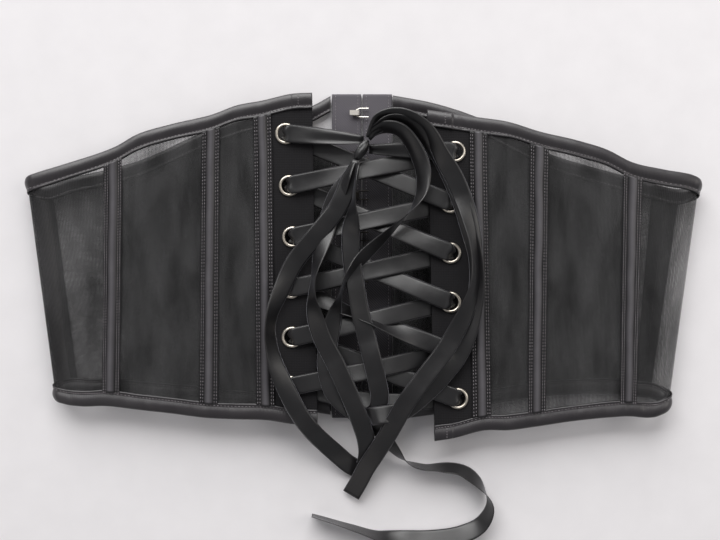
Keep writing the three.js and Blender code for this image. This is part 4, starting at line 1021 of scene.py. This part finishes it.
# How far each strap is tilted, in degrees, and at what share of its length, by the side and row of the
# eyelet it comes out of. The first row's two straps are the strands to the knot.
STRAP_TILT = {
    "left": ((0, 0.5), (-13, 0.42), (-14, 0.42), (-11, 0.42), (-15, 0.42), (-15, 0.42)),
    "right": ((0, 0.5), (-10, 0.36), (-20, 0.32), (-18, 0.32), (-66, 0.56), (-12, 0.4)),
}


def level_heading(start, end):
    return unit((end - start) * (1, 1, 0))


def across_heading(heading):
    across = unit(np.array([-heading[1], heading[0], 0]))
    return across if across[1] >= 0 else -across


def through_eyelet(centre, heading, below):
    """Stations out to the free strap: middle, direction across, width and tilt of each."""
    rise = UNDER_HEIGHT if below else STRAP_HEIGHT
    return [(centre + heading * out + (0, 0, height * rise), across_heading(heading), width, 0)
            for out, height, width in THROUGH]


print("stations at each eyelet:", len(THROUGH))

# %% [markdown]
# ## Straps, strands and the bar
#
# The lacing has three kinds of free stretch. A strap runs from one eyelet to the other side's next one up.
# A strand runs from a top eyelet to the knot, where it is gathered. A loose bar joins the bottom eyelets
# from below. Each strap is tilted a little on its way, as slack ribbon is, and shines where it faces the
# window.

# %% Straps and strands
def strap(start, end, lift, tilt):
    degrees, fullest = tilt
    bend = math.log(0.5) / math.log(fullest)
    heading = level_heading(start, end)
    first, last = through_eyelet(start, heading, False), through_eyelet(end, -heading, True)[::-1]
    middle = []
    for step in range(1, STRAP_STEPS):
        share = step / STRAP_STEPS
        point = first[-1][0] * (1 - share) + last[0][0] * share + (0, 0, lift * math.sin(math.pi * share))
        middle.append((point, first[-1][1], RIBBON_WIDTH, degrees * math.sin(math.pi * share**bend) ** 2))
    return [*first, *middle, *last]


def strand_to_knot(start, end, tilt):
    heading = level_heading(start, end)
    first = through_eyelet(start, heading, False)
    outer = first[-1][0]
    return first + [
        (np.array([*(outer * (1 - share) + end * share)[:2], outer[2]]), first[-1][1],
         RIBBON_WIDTH - (RIBBON_WIDTH - STRAND_WIDTH) * share**2, tilt * share)
        for share in (0.35, 0.7, 1)
    ]


def loose_bar(start, end):
    """The bar between the two bottom eyelets, which hangs out towards the belt's bottom edge."""
    def place(share):
        return start * (1 - share) + end * share + (0, -BAR_SLACK * math.sin(math.pi * share), UNDER_HEIGHT)

    def heading(share):
        return unit(place(share + 0.05) - place(share - 0.05))

    middle = [(place(share), across_heading(heading(share)), RIBBON_WIDTH,
               BAR_TILT * math.sin(math.pi * share)) for share in (0.3, 0.4, 0.5, 0.6, 0.7)]
    first, last = through_eyelet(start, heading(0.05), True), through_eyelet(end, -heading(0.95), True)[::-1]
    return [*first, *middle, *last]


def climb(first, second):
    """The straps from the bottom row up, from one side to the other."""
    stations = []
    for row in range(BOTTOM_ROW, 0, -1):
        sides = (first, second) if (BOTTOM_ROW - row) % 2 == 0 else (second, first)
        start, end = BELT[sides[0]]["centres"][row], BELT[sides[1]]["centres"][row - 1]
        lift = CROSSING_LIFT if start[0] < end[0] else -CROSSING_LIFT
        stations += strap(start, end, lift, STRAP_TILT[sides[0]][row])
    return stations


print("stations from the bottom row to the top one:", len(climb("left", "right")))

# %% [markdown]
# ## One ribbon from end to end
#
# The stretches are put in a row, from the knot down one zigzag, along the bar and up the other. A smooth
# line through their middles makes them one ribbon, and its width, its direction across and its tilt follow.

# %% Lacing
left, right = BELT["left"]["centres"], BELT["right"]["centres"]
right_strand = strand_to_knot(right[0], KNOT + STRAND_ENDS["right"], STRAND_TILT["right"])
left_strand = strand_to_knot(left[0], KNOT + STRAND_ENDS["left"], STRAND_TILT["left"])
from_left, from_right = climb("left", "right") + right_strand, climb("right", "left") + left_strand
stations = from_left[::-1] + loose_bar(left[BOTTOM_ROW], right[BOTTOM_ROW]) + from_right
middles = np.array([station[0] for station in stations])
knots = np.concatenate([[0], np.cumsum(np.linalg.norm(np.diff(middles, axis=0), axis=1) ** 0.5)])
fine = np.concatenate([np.linspace(a, b, 5)[:-1] for a, b in zip(knots, knots[1:])] + [knots[-1:]])
line = smooth_line(knots, middles, fine)
across = np.stack([np.interp(fine, knots, [station[1][k] for station in stations]) for k in range(3)], axis=1)
widths = np.interp(fine, knots, [station[2] for station in stations])
tilts = np.interp(fine, knots, [station[3] for station in stations])
print("lacing length, mm:", round(lengths_to(line)[-1]))
line, across = turn_up(line, across, widths, tilts)
cup = 0.35 * wander(len(line), 1, 16, 21)
finish_piece("satin_lacing", ribbon_mesh(line, across, widths, cup), ribbon_satin, ["lacing"])

# %% [markdown]
# ## The knot
#
# Where the bow is tied, the ribbon wraps round itself in a small tight bundle. It is a ball drawn out
# from the loops to the tails, with soft folds that run along it the way the ribbon is pulled.

# %% Knot
KNOT_FOLDS, FOLD_DEPTH = 5, 0.07  # folds round it, and their depth as a share of its radius
KNOT_CLOTH = (0.013, 0.009)  # metres of ribbon along it and round it
bm = bmesh.new()
uv = bm.loops.layers.uv.new("cloth")
bmesh.ops.create_uvsphere(bm, u_segments=48, v_segments=32, radius=1, calc_uvs=True)
for vert in bm.verts:
    turn = math.atan2(vert.co.z, vert.co.x)
    fold = 1 + FOLD_DEPTH * math.cos(turn * KNOT_FOLDS + 1.8 * vert.co.y) * (1 - vert.co.y**2)
    vert.co = Vector((vert.co.x * fold, vert.co.y, vert.co.z * fold))
for face in bm.faces:
    for loop in face.loops:
        loop[uv].uv = (loop[uv].uv.y * KNOT_CLOTH[0], (loop[uv].uv.x - 0.5) * KNOT_CLOTH[1])
bmesh.ops.scale(bm, vec=KNOT_HALF, verts=bm.verts)
bmesh.ops.rotate(bm, matrix=Matrix.Rotation(math.radians(KNOT_TURN), 3, "Z"), verts=bm.verts)
bmesh.ops.translate(bm, vec=KNOT, verts=bm.verts)
knot = finish_piece("satin_knot", bm, ribbon_satin, ["knot"])
print("knot's box, mm:", [round(size / MM, 1) for size in knot.dimensions])

# %% [markdown]
# ## Stitching
#
# Black polyester thread, 0.3 mm thick, in stitches of about 2 mm. Thread shines a little more than the
# cloth round it, and that shine is painted into its colour as a mid grey, a painted highlight, so a row of
# stitches shows as a dotted light line. Each stitch is a small stretched ball, sunk halfway into the cloth,
# and it has few faces because there are thousands.

# %% Stitches
thread, tree, shader = new_material("thread_polyester_spun", Roughness=0.4, IOR=1.5, Sheen_Weight=0.4)
place = add_node(tree, "TexCoord").outputs["Object"]
ply = add_node(tree, "TexWave", {"Vector": place, "Scale": WAVE / (0.7 * MM), "Distortion": 1.0},
               bands_direction="DIAGONAL")
# The black thread's mid grey colour is a painted highlight.
tint = add_node(tree, "Mix", {0: ply.outputs["Fac"], 6: linear("#5e585c"), 7: linear("#918b8f")},
                data_type="RGBA")
tree.links.new(tint.outputs[2], shader.inputs["Base Color"])


def stitch_row(bm, points, up, length=1.25, thick=0.42):
    """Stitches along a line of points, one at each, each pointing to the next."""
    points = np.asarray(points)
    ahead = unit(np.gradient(points, axis=0))
    up = unit(np.broadcast_to(up, points.shape))
    for point, forward, above in zip(points, ahead, up):
        sideways = np.cross(above, forward)
        turn = Matrix((forward * length / 2, sideways * thick / 2, above * thick / 2)).transposed().to_4x4()
        turn.translation = point
        bmesh.ops.create_icosphere(bm, subdivisions=1, radius=1, matrix=turn)


def cloth_up(side, run):
    return np.stack([np.interp(run, side["runs"], side["normals"][:, k]) for k in range(3)], axis=-1)


print("thread:", thread.name)

# %% [markdown]
# ## Rows of stitches
#
# A binding has a row on each face and a short one across its turned-in end. A channel has two rows on each
# flat edge, and a tape has one along each side. The rows are placed on the cloth's map, so they follow it.

# %% Rows of stitches
UP = (0, 0, 1)
SEAM_HEIGHT = 1.05  # of the binding's stitches over the cloth's middle
TAB_HEIGHT = 2.2  # and of those across its turned-in end
CHANNEL_ROWS = (-4.2, -3.0, 3.0, 4.2)  # places across a channel
CHANNEL_SEAM_HEIGHT = 0.68  # over the channel's underside
CHANNEL_LENGTH = 165  # about, from binding to binding
TAPE_SEAM_INSET, TAPE_SEAM_HEIGHT = 2, 2.62
for side_name, side in BELT.items():
    bm = bmesh.new()
    for share, inwards in ((1, -1), (0, 1)):
        runs = np.arange(1.5, side["end"] - 2, STITCH)
        for face in (1, -1):
            height = SEAM_HEIGHT + TAB_EXTRA * (runs < TAB_LENGTH)
            up = cloth_up(side, runs) * face
            stitch_row(bm, on_cloth(side, runs, share, inwards * SEAM_DEPTH, face * height), up)
        depths = np.arange(1.6, SEAM_DEPTH, STITCH * 0.8)
        points = on_cloth(side, TAB_SEAM, share, inwards * depths, TAB_HEIGHT)
        stitch_row(bm, points, UP, length=1.1, thick=0.34)
    finish_piece(f"binding_stitches_{side_name}", bm, thread)
    bm = bmesh.new()
    for place_name in ("inner channel", "middle channel", "outer channel"):
        middle = side["at"][place_name]
        for offset in CHANNEL_ROWS:
            shares = np.arange(0.055, 0.945, STITCH / CHANNEL_LENGTH)
            points = on_cloth(side, middle + offset, shares, 0, UNDER + CHANNEL_SEAM_HEIGHT)
            stitch_row(bm, points, UP, length=1.2, thick=0.46)
    finish_piece(f"channel_stitches_{side_name}", bm, thread)

bm = bmesh.new()
for edge, sign in ((CLOSING_LINE - TAPE_EDGE, 1), (CLOSING_LINE - TAPE_GAP, -1),
                   (CLOSING_LINE + TAPE_GAP, 1), (CLOSING_LINE + TAPE_EDGE, -1)):
    ys = np.arange(TAPE_BOTTOM + 2, TAPE_TOP - 2, STITCH)
    xs, zs = np.full_like(ys, edge + sign * TAPE_SEAM_INSET), np.full_like(ys, TAPE_SEAM_HEIGHT)
    stitch_row(bm, np.stack([xs, ys, zs], axis=1), UP)
finish_piece("tape_stitches", bm, thread)
print("stitches in a channel row:", len(shares))

# %% [markdown]
# ## Table
#
# The belt lies on a plain pale table, which is no piece of the belt, so it goes on the stage. Its colour
# varies very slightly, as cloth's does.

# %% Table
TABLE_SIZE, TABLE_DROP = 4, 0.0005  # metres; it lies half a millimetre under the belt
bpy.ops.mesh.primitive_plane_add(size=TABLE_SIZE, location=(0, 0, -TABLE_DROP))
floor = bpy.context.object
floor.name = "table"
paint, tree, shader = new_material("table_pale_cloth", Roughness=0.9)
place = add_node(tree, "TexCoord").outputs["Object"]
cloud = add_node(tree, "TexNoise", {"Vector": place, "Scale": 60.0, "Detail": 5.0})
tint = add_node(tree, "Mix", {0: cloud.outputs["Fac"], 6: linear("#e6e4e6"), 7: linear("#efedef")},
                data_type="RGBA")
tree.links.new(tint.outputs[2], shader.inputs["Base Color"])
floor.data.materials.append(paint)
print("table material:", paint.name)

# %% [markdown]
# ## Light
#
# One large soft light stands beyond the belt's top edge like a window, two weaker ones fill in from the
# sides, and a dim sky lifts the shadows. Black satin shows only what it mirrors, so the dark above the
# camera keeps flat ribbon black and the window picks out what tilts to it.

# %% Light
SKY_STRENGTH = 0.28


def soft_light(name, place, size, power, colour):
    data = bpy.data.lights.new(name, "AREA")
    data.shape, data.size, data.size_y = "RECTANGLE", *size
    data.energy, data.color = power, linear(colour)[:3]
    light = bpy.data.objects.new(name, data)
    light.location = place
    light.rotation_euler = (-Vector(place)).to_track_quat("-Z", "Y").to_euler()
    bpy.context.scene.collection.objects.link(light)


soft_light("window", (-0.4, 1.95, 1.35), (2.85, 1.87), 87, "#fbfaf9")
soft_light("side_window", (1.1, 0.3, 0.8), (0.7, 1.0), 4, "#fffaf4")
soft_light("fill", (-0.9, -0.6, 0.9), (0.8, 0.8), 0.8, "#fff6f0")
world = bpy.data.worlds.new("sky")
world.use_nodes = True
world.node_tree.nodes["Background"].inputs["Color"].default_value = linear("#f2f2f5")
world.node_tree.nodes["Background"].inputs["Strength"].default_value = SKY_STRENGTH
bpy.context.scene.world = world
bpy.context.scene.view_settings.view_transform = "Standard"
